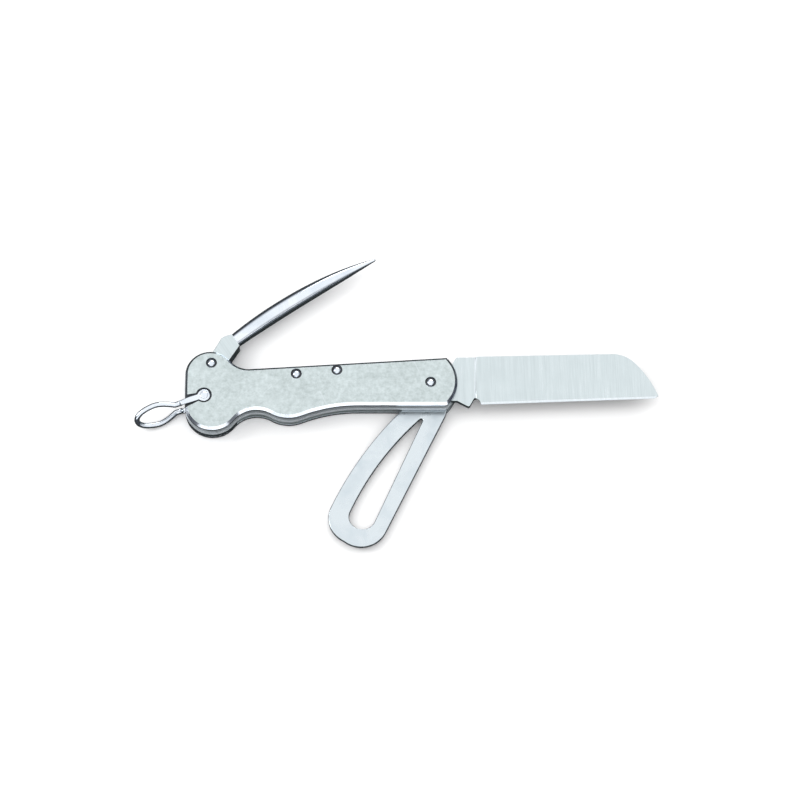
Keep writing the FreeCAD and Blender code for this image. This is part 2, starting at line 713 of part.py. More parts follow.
def spike_sections(body, thickness):
    """Circles across the spike's bowed line: swelling from the tang, then tapering to the point.

    A station is a share of the way to the point with the share of the full radius it has there."""
    stations = [
        (0.0, 0.84), (0.12, 0.95), (0.3, 1.0), (0.5, 0.97), (0.68, 0.82),
        (0.83, 0.56), (0.94, 0.3), (1.0, 0.14),
    ]
    bow = size["spike_bow_radius"].number
    start = size["spike_block_reach"] - 0.6
    run = size["spike_reach"] - start
    rise = size["spike_tang_radius"] * 0.95
    sections = []
    for share, radius_share in stations:
        lean = math.degrees(math.asin(run.number * (share - SPIKE_CREST) / bow))
        x = start + run * share
        bowed = SPIKE_CREST ** 2 - (share - SPIKE_CREST) ** 2
        sagitta = run * run * bowed / (2 * size["spike_bow_radius"])
        turned = FreeCAD.Rotation(FreeCAD.Vector(0, 1, 0), -lean)
        offset = FreeCAD.Placement(
            FreeCAD.Vector((rise + sagitta).number, thickness.number / 2, x.number), turned
        )
        sketch = new_sketch(body, "YZ_Plane", "Section", offset)
        sketch.setExpression("AttachmentOffset.Base.x", (rise + sagitta).text)
        sketch.setExpression("AttachmentOffset.Base.y", (thickness / 2).text)
        sketch.setExpression("AttachmentOffset.Base.z", x.text)
        draw_circle(sketch, (0, 0), size["spike_radius"] * radius_share)
        sections.append(sketch)
    doc.recompute()
    return sections


def round_spike_point(body):
    """Round the last edge of the spike."""
    base = body.Tip
    names = []
    for number, edge in enumerate(base.Shape.Edges, start=1):
        if edge.isClosed() and edge.BoundBox.XMin > size["spike_reach"].number - 2:
            names.append("Edge%d" % number)
    feature = body.newObject("PartDesign::Fillet", "Point")
    feature.Base = (base, names)
    feature.setExpression("Radius", (size["spike_radius"] * 0.12).text)
    doc.recompute()


def meeting(one, reach_one, other, reach_other, side):
    """The point at two given distances from two points, to the left of the way from the first to
    the second for side 1, to the right for side -1."""
    along_x, along_y = other[0] - one[0], other[1] - one[1]
    apart = root(along_x * along_x + along_y * along_y)
    unit_x, unit_y = along_x / apart, along_y / apart
    along = (reach_one * reach_one - reach_other * reach_other + apart * apart) / (2 * apart)
    off = root(reach_one * reach_one - along * along) * side
    return (
        one[0] + unit_x * along - unit_y * off,
        one[1] + unit_y * along + unit_x * off,
    )


def flank(one, one_radius, other, other_radius, side=-1):
    """Where the straight edge that wraps two circles leaves the first and meets the second.

    It runs to the right of the way between the centres, or to the left for side 1."""
    along_x, along_y = other[0] - one[0], other[1] - one[1]
    apart = root(along_x * along_x + along_y * along_y)
    lean = (one_radius - other_radius) / apart
    square = root(1 - lean * lean) * side
    out_x = (along_x * lean - along_y * square) / apart
    out_y = (along_y * lean + along_x * square) / apart
    return (
        (one[0] + out_x * one_radius, one[1] + out_y * one_radius),
        (other[0] + out_x * other_radius, other[1] + out_y * other_radius),
    )


def inside_touch(big, big_radius, small):
    """Where a circle that lies inside a big one touches it."""
    along_x, along_y = small[0] - big[0], small[1] - big[1]
    apart = root(along_x * along_x + along_y * along_y)
    return (big[0] + along_x / apart * big_radius, big[1] + along_y / apart * big_radius)


def key_outer_corners():
    """The key's outer edge, anticlockwise: hub, hollow neck, bowed upper leg, broad far end."""
    hub, hub_radius = BLADE_PIVOT, size["key_hub_radius"]
    bow, neck = size["key_bow_radius"], size["key_neck_radius"]
    end, toe = size["key_end_radius"], size["key_toe_radius"]
    upper = (-size["key_bow_place"], size["key_top_height"] - bow)
    end_x = end - size["key_reach"]
    run = end_x - upper[0]
    far_up = (end_x, upper[1] + root((bow - end) * (bow - end) - run * run))
    far_low = (end - size["key_reach"], end - size["key_far_depth"])
    heel = (-toe, toe - size["key_heel_depth"])
    hollow = meeting(hub, hub_radius + neck, upper, bow + neck, -1)
    hub_out = touching(hub, hub_radius, hollow, neck)
    neck_out = touching(hollow, neck, upper, bow)
    bow_out = inside_touch(upper, bow, far_up)
    up_out, low_in = flank(far_up, end, far_low, end)
    low_out, heel_in = flank(far_low, end, heel, toe)
    heel_out, hub_in = flank(heel, toe, hub, hub_radius)
    return [
        (hub_in[0], hub_in[1], hub_radius),
        (hub_radius, 0, hub_radius),
        (hub_out[0], hub_out[1], -neck),
        (neck_out[0], neck_out[1], bow),
        (bow_out[0], bow_out[1], end),
        (up_out[0], up_out[1]),
        (low_in[0], low_in[1], end),
        (low_out[0], low_out[1]),
        (heel_in[0], heel_in[1], toe),
        (heel_out[0], heel_out[1]),
    ]


def key_slot_corners():
    """The tapered slot: round far end, straight lower side, bowed upper side, small apex."""
    wide, narrow = size["key_slot_radius"], size["key_apex_radius"]
    bow = size["key_slot_bow_radius"]
    far = (wide + size["key_end_width"] - size["key_reach"], -size["key_slot_depth"])
    apex = (-size["key_apex_place"], -size["key_apex_depth"])
    centre = meeting(apex, bow - narrow, far, bow - wide, 1)
    far_touch = inside_touch(centre, bow, far)
    apex_touch = inside_touch(centre, bow, apex)
    apex_low, far_low = flank(apex, narrow, far, wide, 1)
    return [
        (apex_low[0], apex_low[1]),
        (far_low[0], far_low[1], -wide),
        (far[0] - wide, far[1], -wide),
        (far_touch[0], far_touch[1], -bow),
        (apex_touch[0], apex_touch[1], -narrow),
        (apex[0] + narrow, apex[1], -narrow),
    ]


def shackle_key():
    """Looped plate with a tapered slot, drawn closed along -X and then opened."""
    body = new_body("shackle_key")
    outline = new_sketch(body, "XY_Plane", "Outline")
    draw_outline(outline, key_outer_corners())
    draw_outline(outline, key_slot_corners())
    draw_circle(outline, BLADE_PIVOT, size["pivot_radius"] + size["fit_gap"])
    pad(body, outline, size["key_thickness"])
    for height in (0.0, size["key_thickness"].number):
        bevel(body, height, size["key_edge_round"], "PartDesign::Fillet")
    place(body, z=KEY_WELL_FLOOR + SHIM_AND_GAP, turn=size["key_open_angle"])


def washer(label, place_of_pin, floor):
    """A thin shim round a pivot."""
    body = new_body(label)
    ring = new_sketch(body, "XY_Plane", "Ring")
    draw_circle(ring, (0, 0), size["washer_radius"])
    draw_circle(ring, (0, 0), size["pivot_radius"] + size["fit_gap"])
    pad(body, ring, size["washer_thickness"])
    place(body, x=place_of_pin[0], y=place_of_pin[1], z=floor)


def washers():
    """Shims on both sides of the three tangs."""
    thin = size["washer_thickness"]
    washer("key_washer_back", BLADE_PIVOT, KEY_WELL_FLOOR)
    washer("key_washer_front", BLADE_PIVOT, LINER_FLOOR - thin)
    washer("blade_washer_back", BLADE_PIVOT, BLADE_WELL_FLOOR)
    washer("blade_washer_front", BLADE_PIVOT, FRONT_SCALE_FLOOR - thin)
    washer("spike_washer_back", SPIKE_PIVOT, KEY_WELL_FLOOR)
    washer("spike_washer_front", SPIKE_PIVOT, FRONT_SCALE_FLOOR - thin)


def rivet(label, place_of_pin, shank, floor):
    """A rivet revolved about its own axis: flush tail head, shank, crowned front head."""
    body = new_body(label)
    profile = new_sketch(body, "XZ_Plane", "Profile")
    length = TOP - floor
    head, deep, dome = size["head_radius"], size["head_depth"], size["head_dome"]
    crown = (head * head + dome * dome) / (2 * dome)
    draw_outline(profile, [
        (0, 0),
        (head, 0),
        (head, deep),
        (shank, deep),
        (shank, length - deep),
        (head, length - deep),
        (head, length, crown),
        (0, length + dome),
    ])
    spin(body, profile)
    place(body, x=place_of_pin[0], y=place_of_pin[1], z=floor)


def spin(body, profile):
    """Revolve a half profile about the sketch's vertical axis."""
    feature = body.newObject("PartDesign::Revolution", "Turned")
    feature.Profile = profile
    feature.ReferenceAxis = (profile, ["V_Axis"])
    feature.Angle = 360
    doc.recompute()


def rivets():
    """Two through rivets at the pivots, two short ones that hold the spring to the liner."""
    rivet("blade_pivot_rivet", BLADE_PIVOT, size["pivot_radius"], as_size(0))
    rivet("spike_pivot_rivet", SPIKE_PIVOT, size["pivot_radius"], as_size(0))
    rivet("front_spring_rivet", FRONT_RIVET, size["spring_rivet_radius"], LINER_FLOOR)
    rivet("rear_spring_rivet", REAR_RIVET, size["spring_rivet_radius"], LINER_FLOOR)


def bail_pin():
    """The pin through the head, flared at both ends into the bail's countersunk eyes."""
    body = new_body("bail_pin")
    profile = new_sketch(body, "XZ_Plane", "Profile")
    shank, gap = size["bail_pin_radius"], size["fit_gap"]
    flare = shank + SHORT
    rise = gap + SHORT / 2
    crown = (flare * flare + rise * rise) / (2 * rise)
    draw_outline(profile, [
        (0, gap),
        (flare, gap),
        (shank, SHORT + gap),
        (shank, TOP - SHORT - gap),
        (flare, TOP - gap, crown),
        (0, TOP + SHORT / 2),
    ])
    spin(body, profile)
    place(body, x=BAIL_PIN[0], y=BAIL_PIN[1])


def bail_pin_collar():
    """The tube round the bail pin that bridges the blade well."""
    body = new_body("bail_pin_collar")
    ring = new_sketch(body, "XY_Plane", "Ring")
    draw_circle(ring, (0, 0), size["collar_radius"])
    draw_circle(ring, (0, 0), size["bail_pin_radius"] + size["fit_gap"])
    pad(body, ring, BLADE_WELL)
    place(body, x=BAIL_PIN[0], y=BAIL_PIN[1], z=BLADE_WELL_FLOOR)


def bail_end(front):
    """One flattened end of the bail with its countersunk eye, drawn along -X from the pin."""
    top = TOP.number
    tab = size["bail_tab_thickness"].number
    gap = size["fit_gap"].number
    width = size["bail_tab_width"].number
    reach = size["bail_pin_inset"].number + size["wire_radius"].number + 1.6
    floor = top - gap - tab if front else gap
    eye = Part.makeCylinder(size["bail_eye_radius"].number, tab, FreeCAD.Vector(0, 0, floor))
    arm = Part.makeBox(reach, width, tab, FreeCAD.Vector(-reach, -width / 2, floor))
    shank = size["bail_pin_radius"].number + gap
    hole = Part.makeCylinder(shank, 2 * tab, FreeCAD.Vector(0, 0, floor - tab / 2))
    flare = shank + SHORT + gap
    deep = SHORT + 2 * gap
    if front:
        sink = Part.makeCone(shank, flare, deep, FreeCAD.Vector(0, 0, floor + tab - deep))
    else:
        sink = Part.makeCone(flare, shank, deep, FreeCAD.Vector(0, 0, floor))
    return eye.fuse(arm).cut(hole).cut(sink)


BAIL_TWIST_IN = 0.45  # share of the wire's way out over which the twist comes in


def bail_wire():
    """The round wire: out from one flattened end, round and back, twisted about its length.

    Each leg's distance from the middle line falls as the cosine of an angle while its way out
    grows as the square root of the sine: nearly straight legs and a round far end."""
    radius = size["wire_radius"].number
    middle = TOP.number / 2
    lift = middle - radius - size["fit_gap"].number
    side = lift * math.tan(math.radians(size["bail_twist"].number))
    near = size["bail_pin_inset"].number + radius + 0.9
    run = size["bail_reach"].number - near
    points = []
    for degrees in (0, 1, 4, 10, 20, 35, 55, 75):
        angle = math.radians(degrees)
        share = math.sqrt(math.sin(angle))
        spread = min(share / BAIL_TWIST_IN, 1.0)
        twisted = spread * spread * (3 - 2 * spread)
        points.append(FreeCAD.Vector(
            -near - run * share, side * twisted * math.cos(angle), middle + lift * math.cos(angle)
        ))
    tip = FreeCAD.Vector(-near - run, 0, middle)
    back = [FreeCAD.Vector(p.x, -p.y, 2 * middle - p.z) for p in reversed(points)]
    curve = Part.BSplineCurve()
    curve.interpolate(points + [tip] + back)
    spine = Part.Wire([curve.toShape()])
    start = curve.value(curve.FirstParameter)
    heading = curve.tangent(curve.FirstParameter)[0]
    ring = Part.Wire([Part.makeCircle(radius, start, heading)])
    return spine.makePipeShell([ring], True, True)


def bail():
    """The twisted wire loop; its line in space has no sketch plane, so its Shape is made directly."""
    shape = bail_wire().fuse([bail_end(True), bail_end(False)]).removeSplitter()
    feature = doc.addObject("Part::Feature", "bail")
    feature.Label = "bail"
    feature.Shape = shape
    x, y = BAIL_PIN
    feature.Placement = FreeCAD.Placement(
        FreeCAD.Vector(x.number, y.number, 0),
        FreeCAD.Rotation(FreeCAD.Vector(0, 0, 1), size["bail_droop"].number),
    )
    SUBPARTS.append(feature)


def check_and_write():
    """Refuse a failed feature or a bad shape, then write one STEP file for each piece."""
    doc.recompute()
    for item in doc.Objects:
        if "Invalid" in item.State or "Error" in item.State:
            raise RuntimeError("%s failed: %s" % (item.Name, item.State))
    for piece in SUBPARTS:
        if piece.Shape.isNull() or not piece.Shape.isValid() or len(piece.Shape.Solids) != 1:
            raise RuntimeError("%s has no sound shape" % piece.Label)
    os.makedirs("parts", exist_ok=True)
    for piece in SUBPARTS:
        piece.Shape.exportStep(os.path.join("parts", piece.Label + ".step"))


front_scale()
back_scale()
centre_liner()
head_spacer()
backspring()
blade()
marlin_spike()
shackle_key()
washers()
rivets()
bail_pin()
bail_pin_collar()
bail()
check_and_write()
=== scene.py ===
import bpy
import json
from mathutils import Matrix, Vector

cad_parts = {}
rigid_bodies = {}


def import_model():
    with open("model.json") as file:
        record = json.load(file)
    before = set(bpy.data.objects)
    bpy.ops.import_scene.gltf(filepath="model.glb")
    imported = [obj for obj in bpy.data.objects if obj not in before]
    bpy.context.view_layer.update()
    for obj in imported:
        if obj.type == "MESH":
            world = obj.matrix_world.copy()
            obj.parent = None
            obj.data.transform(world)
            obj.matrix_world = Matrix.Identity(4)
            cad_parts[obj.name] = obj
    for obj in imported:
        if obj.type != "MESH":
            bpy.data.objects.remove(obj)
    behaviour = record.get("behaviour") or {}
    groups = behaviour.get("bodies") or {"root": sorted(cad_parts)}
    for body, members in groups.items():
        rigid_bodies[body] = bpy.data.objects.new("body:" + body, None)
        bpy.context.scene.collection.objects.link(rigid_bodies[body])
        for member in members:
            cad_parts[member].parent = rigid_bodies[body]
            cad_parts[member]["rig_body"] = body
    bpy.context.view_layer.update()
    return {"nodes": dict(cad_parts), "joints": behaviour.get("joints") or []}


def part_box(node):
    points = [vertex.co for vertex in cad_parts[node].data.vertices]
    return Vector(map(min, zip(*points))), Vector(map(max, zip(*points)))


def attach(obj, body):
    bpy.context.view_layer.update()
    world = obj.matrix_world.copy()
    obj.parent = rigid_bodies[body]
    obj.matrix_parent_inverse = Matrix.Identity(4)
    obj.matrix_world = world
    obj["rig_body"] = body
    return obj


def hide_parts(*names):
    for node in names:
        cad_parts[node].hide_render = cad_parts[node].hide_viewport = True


bl_info = {
    "name": "Rigging knife",
    "version": (1, 0, 0),
    "blender": (4, 5, 0),
    "location": "3D View > Sidebar > Rigging knife",
    "description": "Finished pieces, steels and studio for a folding rigging knife",
    "category": "Object",
}

import json
import math

import bmesh
import bpy
import numpy as np
from bpy.props import FloatProperty, FloatVectorProperty, IntProperty, PointerProperty
from bpy.types import Operator, Panel, PropertyGroup
from mathutils import Vector

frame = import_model()
JOINTS = {joint["name"]: joint for joint in frame["joints"]}
MM = 0.001
ALL_EDGES = -1.0  # steepest face to brighten, low enough to take in a plate's upright edges
RECESS = 0.2 * MM  # a flat face at least this far inside a plate is a recess's floor
FLAT = 0.97  # a face whose normal is at least this near to the vertical is a plate's face

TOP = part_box("front_scale")[1].z
SPIKE_PIVOT = Vector(JOINTS["spike_pivot"]["pos_m"])
BAIL_PIVOT = Vector(JOINTS["bail_swing"]["pos_m"])
SPIKE_LINE = 33.5  # degrees from closed to where the spike lies open
BAIL_LINE = 19.0   # degrees that the bail hangs below the handle's line
BUTTON = 1.45 * MM  # radius of a rivet's crowned button
AIM = Vector((-12.3, -7.85, 10.5)) * MM  # what the camera and the lights face
FIELD = 0.320      # width of the camera's view at that place


class KnifeShapes(PropertyGroup):
    edge_round: FloatProperty(
        name="Edge rounding", description="Rounding of the plates' cut edges",
        default=0.09 * MM, min=0.0, unit="LENGTH", precision=5,
    )
    spike_radius: FloatProperty(
        name="Spike radius", description="Radius of the spike at its thickest place",
        default=3.4 * MM, min=1.0 * MM, unit="LENGTH", precision=5,
    )
    spike_bow: FloatProperty(
        name="Spike bow", description="Radius of the spike's bowed line",
        default=282.0 * MM, min=100.0 * MM, unit="LENGTH", precision=5,
    )
    wire_radius: FloatProperty(
        name="Wire radius", description="Radius of the bail's round wire",
        default=1.1 * MM, min=0.5 * MM, unit="LENGTH", precision=5,
    )
    bail_reach: FloatProperty(
        name="Bail reach", description="From the bail's pin to the wire at its far end",
        default=28.3 * MM, min=15.0 * MM, unit="LENGTH", precision=5,
    )
    bail_twist: FloatProperty(
        name="Bail twist", description="Twist of the loop about its own length",
        default=math.radians(34.0), subtype="ANGLE",
    )
    rivet_crown: FloatProperty(
        name="Rivet crown", description="Height of a rivet's domed head",
        default=0.35 * MM, min=0.0, unit="LENGTH", precision=5,
    )
    around: IntProperty(
        name="Points around", description="Points round a turned or drawn piece",
        default=64, min=16, max=256,
    )


class KnifeFinishes(PropertyGroup):
    blasted_light: FloatVectorProperty(
        name="Blasted steel, light", description="Lighter colour of the bead-blasted plates",
        default=(0.53, 0.59, 0.60), subtype="COLOR", min=0.0, max=1.0,
    )
    blasted_dark: FloatVectorProperty(
        name="Blasted steel, dark", description="Darker mottling of the bead-blasted plates",
        default=(0.38, 0.43, 0.43), subtype="COLOR", min=0.0, max=1.0,
    )
    satin_light: FloatVectorProperty(
        name="Satin steel, light", description="Lighter lines of the ground blade",
        default=(0.56, 0.62, 0.64), subtype="COLOR", min=0.0, max=1.0,
    )
    satin_dark: FloatVectorProperty(
        name="Satin steel, dark", description="Darker lines of the ground blade",
        default=(0.43, 0.485, 0.50), subtype="COLOR", min=0.0, max=1.0,
    )
    bright_light: FloatVectorProperty(
        name="Bright steel, light", description="Colour of the polished steel",
        default=(0.66, 0.70, 0.75), subtype="COLOR", min=0.0, max=1.0,
    )
    bright_dark: FloatVectorProperty(
        name="Bright steel, dull", description="Colour of the polished steel where it is handled",
        default=(0.47, 0.53, 0.60), subtype="COLOR", min=0.0, max=1.0,
    )
    key_light: FloatVectorProperty(
        name="Key steel, light", description="Colour of the tumbled key",
        default=(0.54, 0.59, 0.62), subtype="COLOR", min=0.0, max=1.0,
    )
    key_dark: FloatVectorProperty(
        name="Key steel, dull", description="Colour of the key where it is handled",
        default=(0.42, 0.48, 0.52), subtype="COLOR", min=0.0, max=1.0,
    )
    bronze: FloatVectorProperty(
        name="Bronze", description="Colour of the shims beside the tangs",
        default=(0.72, 0.50, 0.28), subtype="COLOR", min=0.0, max=1.0,
    )
    grain: FloatProperty(
        name="Blast grain", description="Marks to the metre of the bead blasting's mottling",
        default=620.0, min=50.0,
    )


class KnifeStage(PropertyGroup):
    floor_side: FloatProperty(
        name="Floor side", description="Side of the floor", default=6.0, min=0.5, unit="LENGTH",
    )
    floor_colour: FloatVectorProperty(
        name="Floor", description="Colour of the plain floor",
        default=(0.93, 0.93, 0.93), subtype="COLOR", min=0.0, max=1.0,
    )
    softbox_power: FloatProperty(
        name="Softboxes", description="Power of each softbox at the sides of the table",
        default=4.0, min=0.0, unit="POWER",
    )
    surround: FloatProperty(
        name="Surround", description="Brightness of the room round the table",
        default=1.42, min=0.0,
    )
    camera_lift: FloatProperty(
        name="Camera lift", description="Angle of the camera above the table",
        default=math.radians(68.0), subtype="ANGLE",
    )
    lens: FloatProperty(
        name="Lens", description="Focal length in millimetres", default=200.0, min=20.0,
    )


def shapes():
    """The sizes that the pieces read."""
    return bpy.context.scene.knife_shapes


def finishes():
    """The colours and grains that the materials read."""
    return bpy.context.scene.knife_finishes


# Surfaces


def skin(rings, start, end):
    """Neighbouring rings joined by quads, and each end ring by a fan to its pole point.

    The rings are an array of rows by points around by three."""
    rows, around = rings.shape[:2]
    here = np.arange(rows * around).reshape(rows, around)
    beside = np.roll(here, -1, axis=1)
    quads = np.stack([here[:-1], beside[:-1], beside[1:], here[1:]], axis=-1).reshape(-1, 4)
    pole = rows * around
    first = np.stack([beside[0], here[0], np.full(around, pole)], axis=-1)
    last = np.stack([here[-1], beside[-1], np.full(around, pole + 1)], axis=-1)
    points = np.concatenate([rings.reshape(-1, 3), [start, end]])
    return points, quads.tolist() + first.tolist() + last.tolist()


def circle(around):
    """Evenly spaced angles once round."""
    return np.arange(around) / around * 2 * math.pi


def turned(profile, centre, around):
    """A surface of revolution about a vertical axis.

    A profile row is (radius, height); the point at angle a is (radius cos a, radius sin a,
    height) from the centre.  The first and last rows are the poles."""
    angle = circle(around)
    radius, height = np.array(profile, float).T
    ring = np.stack([np.cos(angle), np.sin(angle)], axis=-1)
    flat = radius[1:-1, None, None] * ring
    level = np.broadcast_to(height[1:-1, None, None], flat.shape[:2] + (1,))
    rings = np.concatenate([flat, level], axis=-1) + np.array(centre)
    start = np.array(centre) + [0, 0, height[0]]
    end = np.array(centre) + [0, 0, height[-1]]
    return skin(rings, start, end)


def quarter(radius, from_angle, steps=6):
    """Points of a quarter circle of that radius, as offsets (out, up), from an angle in degrees."""
    angle = np.radians(from_angle + np.linspace(0, 90, steps))
    return np.stack([radius * np.cos(angle), radius * np.sin(angle)], axis=-1)


def swept(line, half_width, half_height, squareness, around):
    """A tube along a line whose section is a superellipse.

    With t the line's direction and s the part of +Y square to it, the point at angle a is
    line + s width |cos a|^p sign(cos a) + (t x s) height |sin a|^p sign(sin a), where the power
    p is 2 / squareness, so 2 gives an ellipse and more gives a flat section with round corners."""
    direction = np.gradient(line, axis=0)
    direction /= np.linalg.norm(direction, axis=1, keepdims=True)
    sideways = np.array([0.0, 1.0, 0.0]) - direction * direction[:, 1:2]
    sideways /= np.linalg.norm(sideways, axis=1, keepdims=True)
    across = np.cross(direction, sideways)
    angle = circle(around)
    power = (2 / squareness)[:, None]
    out = np.sign(np.cos(angle)) * np.abs(np.cos(angle)) ** power * half_width[:, None]
    up = np.sign(np.sin(angle)) * np.abs(np.sin(angle)) ** power * half_height[:, None]
    rings = (
        line[:, None] + sideways[:, None] * out[..., None] + across[:, None] * up[..., None]
    )
    return skin(rings, line[0], line[-1])


def outline_points(corners, spacing):
    """Points along a closed outline of straight edges and arcs.

    A corner is (x, y, bend): bend is the radius of the edge that leaves it, positive when the
    edge curves to the left and 0 when it is straight.  An arc's points are its centre plus the
    radius turned through equal angles."""
    runs = []
    for (x, y, bend), (next_x, next_y, _) in zip(corners, corners[1:] + corners[:1]):
        start, end = np.array([x, y]), np.array([next_x, next_y])
        chord = end - start
        length = np.linalg.norm(chord)
        count = max(int(length / spacing), 2)
        share = np.arange(count)[:, None] / count
        if not bend:
            runs.append(start + share * chord)
            continue
        left = np.array([-chord[1], chord[0]]) / length * math.copysign(1, bend)
        half = math.asin(min(length / 2 / abs(bend), 1.0))
        centre = (start + end) / 2 + left * abs(bend) * math.cos(half)
        first = math.atan2(*(start - centre)[::-1])
        angle = first + share * 2 * half * math.copysign(1, bend)
        runs.append(centre + abs(bend) * np.concatenate([np.cos(angle), np.sin(angle)], axis=1))
    return np.concatenate(runs)


def raised(outline, low, high, rounding, steps=5):
    """A plate with rounded edges, closed by its two flat faces.

    The outline is set in by rounding (1 - sin a) at the height rounding (1 - cos a) above its
    lower face, for a from 0 to 90 degrees, and the same again below its upper face."""
    ahead = np.roll(outline, -1, axis=0) - np.roll(outline, 1, axis=0)
    outward = np.stack([ahead[:, 1], -ahead[:, 0]], axis=-1)
    outward /= np.linalg.norm(outward, axis=1, keepdims=True)
    angle = np.linspace(0, math.pi / 2, steps)
    inset = rounding * (1 - np.sin(angle))
    rise = rounding * (1 - np.cos(angle))
    insets = np.concatenate([inset, inset[::-1]])
    levels = np.concatenate([low + rise, high - rise[::-1]])
    flat = outline[None] - outward[None] * insets[:, None, None]
    level = np.broadcast_to(levels[:, None, None], flat.shape[:2] + (1,))
    rings = np.concatenate([flat, level], axis=-1)
    rows, around = rings.shape[:2]
    here = np.arange(rows * around).reshape(rows, around)
    beside = np.roll(here, -1, axis=1)
    quads = np.stack([here[:-1], beside[:-1], beside[1:], here[1:]], axis=-1).reshape(-1, 4)
    return rings.reshape(-1, 3), quads.tolist() + [here[0][::-1].tolist(), here[-1].tolist()]


def opened(points, pivot, degrees):
    """Points drawn from a pivot along +X, turned about the vertical and moved to the pivot."""
    angle = math.radians(degrees)
    turn = np.array([
        [math.cos(angle), -math.sin(angle), 0],
        [math.sin(angle), math.cos(angle), 0],
        [0, 0, 1],
    ])
    return points @ turn.T + np.array([pivot[0], pivot[1], 0])


# Objects


def show(name, surface, body, nodes, materials):
    """Put a surface into the scene as a piece that rides on a body and stands for CAD nodes."""
    points, faces = surface
    mesh = bpy.data.meshes.new(name)
    mesh.from_pydata(points.tolist(), [], faces)
    mesh.validate()
    work = bmesh.new()
    work.from_mesh(mesh)
    bmesh.ops.remove_doubles(work, verts=work.verts, dist=1e-7)
    bmesh.ops.recalc_face_normals(work, faces=work.faces)
    work.to_mesh(mesh)
    work.free()
    return present(name, mesh, body, nodes, materials)


def present(name, mesh, body, nodes, materials):
    """Link a finished mesh, smooth it, give it its materials and its body."""
    mesh.polygons.foreach_set("use_smooth", np.ones(len(mesh.polygons), bool))
    piece = bpy.data.objects.new(name, mesh)
    bpy.context.scene.collection.objects.link(piece)
    for finish in materials:
        mesh.materials.append(finish)
    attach(piece, body)
    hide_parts(*nodes)
    return piece


def weigh_normals(piece):
    """Let large faces rule the shading, so that flats stay flat beside rounded edges."""
    modifier = piece.modifiers.new("Even shading", "WEIGHTED_NORMAL")
    modifier.mode = "FACE_AREA"
    modifier.weight = 50
    modifier.keep_sharp = False


def rounded_copy(
    node, name, materials, amount, limit=35.0, flat=FLAT, steepest=0.2
):
    """A copy of a CAD node with its triangles merged into flats and its sharp edges rounded.

    The second material, if there is one, goes on the rounded edges and on slanting faces: those
    whose upright share of the normal is between steepest and flat.  A third, a painted shade,
    goes on the floors of recesses."""
    source = frame["nodes"][node]
    work = bmesh.new()
    work.from_mesh(source.data)
    bmesh.ops.remove_doubles(work, verts=work.verts, dist=2e-7)
    bmesh.ops.dissolve_limit(
        work, angle_limit=math.radians(0.4), verts=work.verts, edges=work.edges
    )
    work.normal_update()
    mesh = bpy.data.meshes.new(name)
    work.to_mesh(mesh)
    work.free()
    mesh.materials.clear()
    if "custom_normal" in mesh.attributes:
        mesh.attributes.remove(mesh.attributes["custom_normal"])
    upright = np.zeros(len(mesh.polygons) * 3, np.float32)
    mesh.polygons.foreach_get("normal", upright)
    upright = np.abs(upright.reshape(-1, 3)[:, 2])
    level = np.zeros(len(mesh.polygons) * 3, np.float32)
    mesh.polygons.foreach_get("center", level)
    level = level.reshape(-1, 3)[:, 2]
    inside = np.minimum(level - level.min(), level.max() - level) > RECESS
    slanting = (upright > steepest) & (upright < flat)
    # Recess floors take the third material: painted shade for the hollows
    choice = np.where(slanting, 1, np.where(inside & (upright > flat), 2, 0))
    choice = np.where(choice < len(materials), choice, 0)
    mesh.polygons.foreach_set("material_index", choice.astype(np.int32))
    piece = present(name, mesh, source["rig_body"], [node], materials)
    edge = piece.modifiers.new("Rounded edges", "BEVEL")
    edge.width = amount
    edge.segments = 2
    edge.limit_method = "ANGLE"
    edge.angle_limit = math.radians(limit)
    edge.use_clamp_overlap = True
    if len(materials) > 1:
        edge.material = 1
    weigh_normals(piece)
    return piece


# Node groups


def new_group(name, inputs, outputs):
    """A shader node group: inputs are (name, kind, default), outputs (name, kind)."""
    group = bpy.data.node_groups.new(name, "ShaderNodeTree")
    for label, kind, default in inputs:
        socket = group.interface.new_socket(label, in_out="INPUT", socket_type=kind)
        if default is not None:
            socket.default_value = default
    for label, kind in outputs:
        group.interface.new_socket(label, in_out="OUTPUT", socket_type=kind)
    return group, group.nodes.new("NodeGroupInput"), group.nodes.new("NodeGroupOutput")


def noise(tree, vector, scale, detail=3.0, roughness=0.6, distortion=0.0):
    """A noise texture's value at a vector.  The scale may be a number or a socket."""
    node = tree.nodes.new("ShaderNodeTexNoise")
    tree.links.new(vector, node.inputs["Vector"])
    if isinstance(scale, bpy.types.NodeSocket):
        tree.links.new(scale, node.inputs["Scale"])
    else:
        node.inputs["Scale"].default_value = scale
    node.inputs["Detail"].default_value = detail
    node.inputs["Roughness"].default_value = roughness
    node.inputs["Distortion"].default_value = distortion
    return node.outputs["Fac"]


def remap(tree, value, low, high, to_low=0.0, to_high=1.0):
    """Clamp a value to a range and spread that over another."""
    node = tree.nodes.new("ShaderNodeMapRange")
    tree.links.new(value, node.inputs["Value"])
    for label, number in (
        ("From Min", low), ("From Max", high), ("To Min", to_low), ("To Max", to_high),
    ):
        if isinstance(number, bpy.types.NodeSocket):
            tree.links.new(number, node.inputs[label])
        else:
            node.inputs[label].default_value = number
    return node.outputs["Result"]


def stretched(tree, vector, factors):
    """A vector multiplied by three factors."""
    node = tree.nodes.new("ShaderNodeVectorMath")
    node.operation = "MULTIPLY"
    tree.links.new(vector, node.inputs[0])
    node.inputs[1].default_value = factors
    return node.outputs["Vector"]


def placed(tree, vector, location=(0, 0, 0), degrees=0.0):
    """A vector moved and then turned about the vertical."""
    node = tree.nodes.new("ShaderNodeMapping")
    node.vector_type = "TEXTURE"
    tree.links.new(vector, node.inputs["Vector"])
    node.inputs["Location"].default_value = location
    node.inputs["Rotation"].default_value = (0, 0, math.radians(degrees))
    return node.outputs["Vector"]


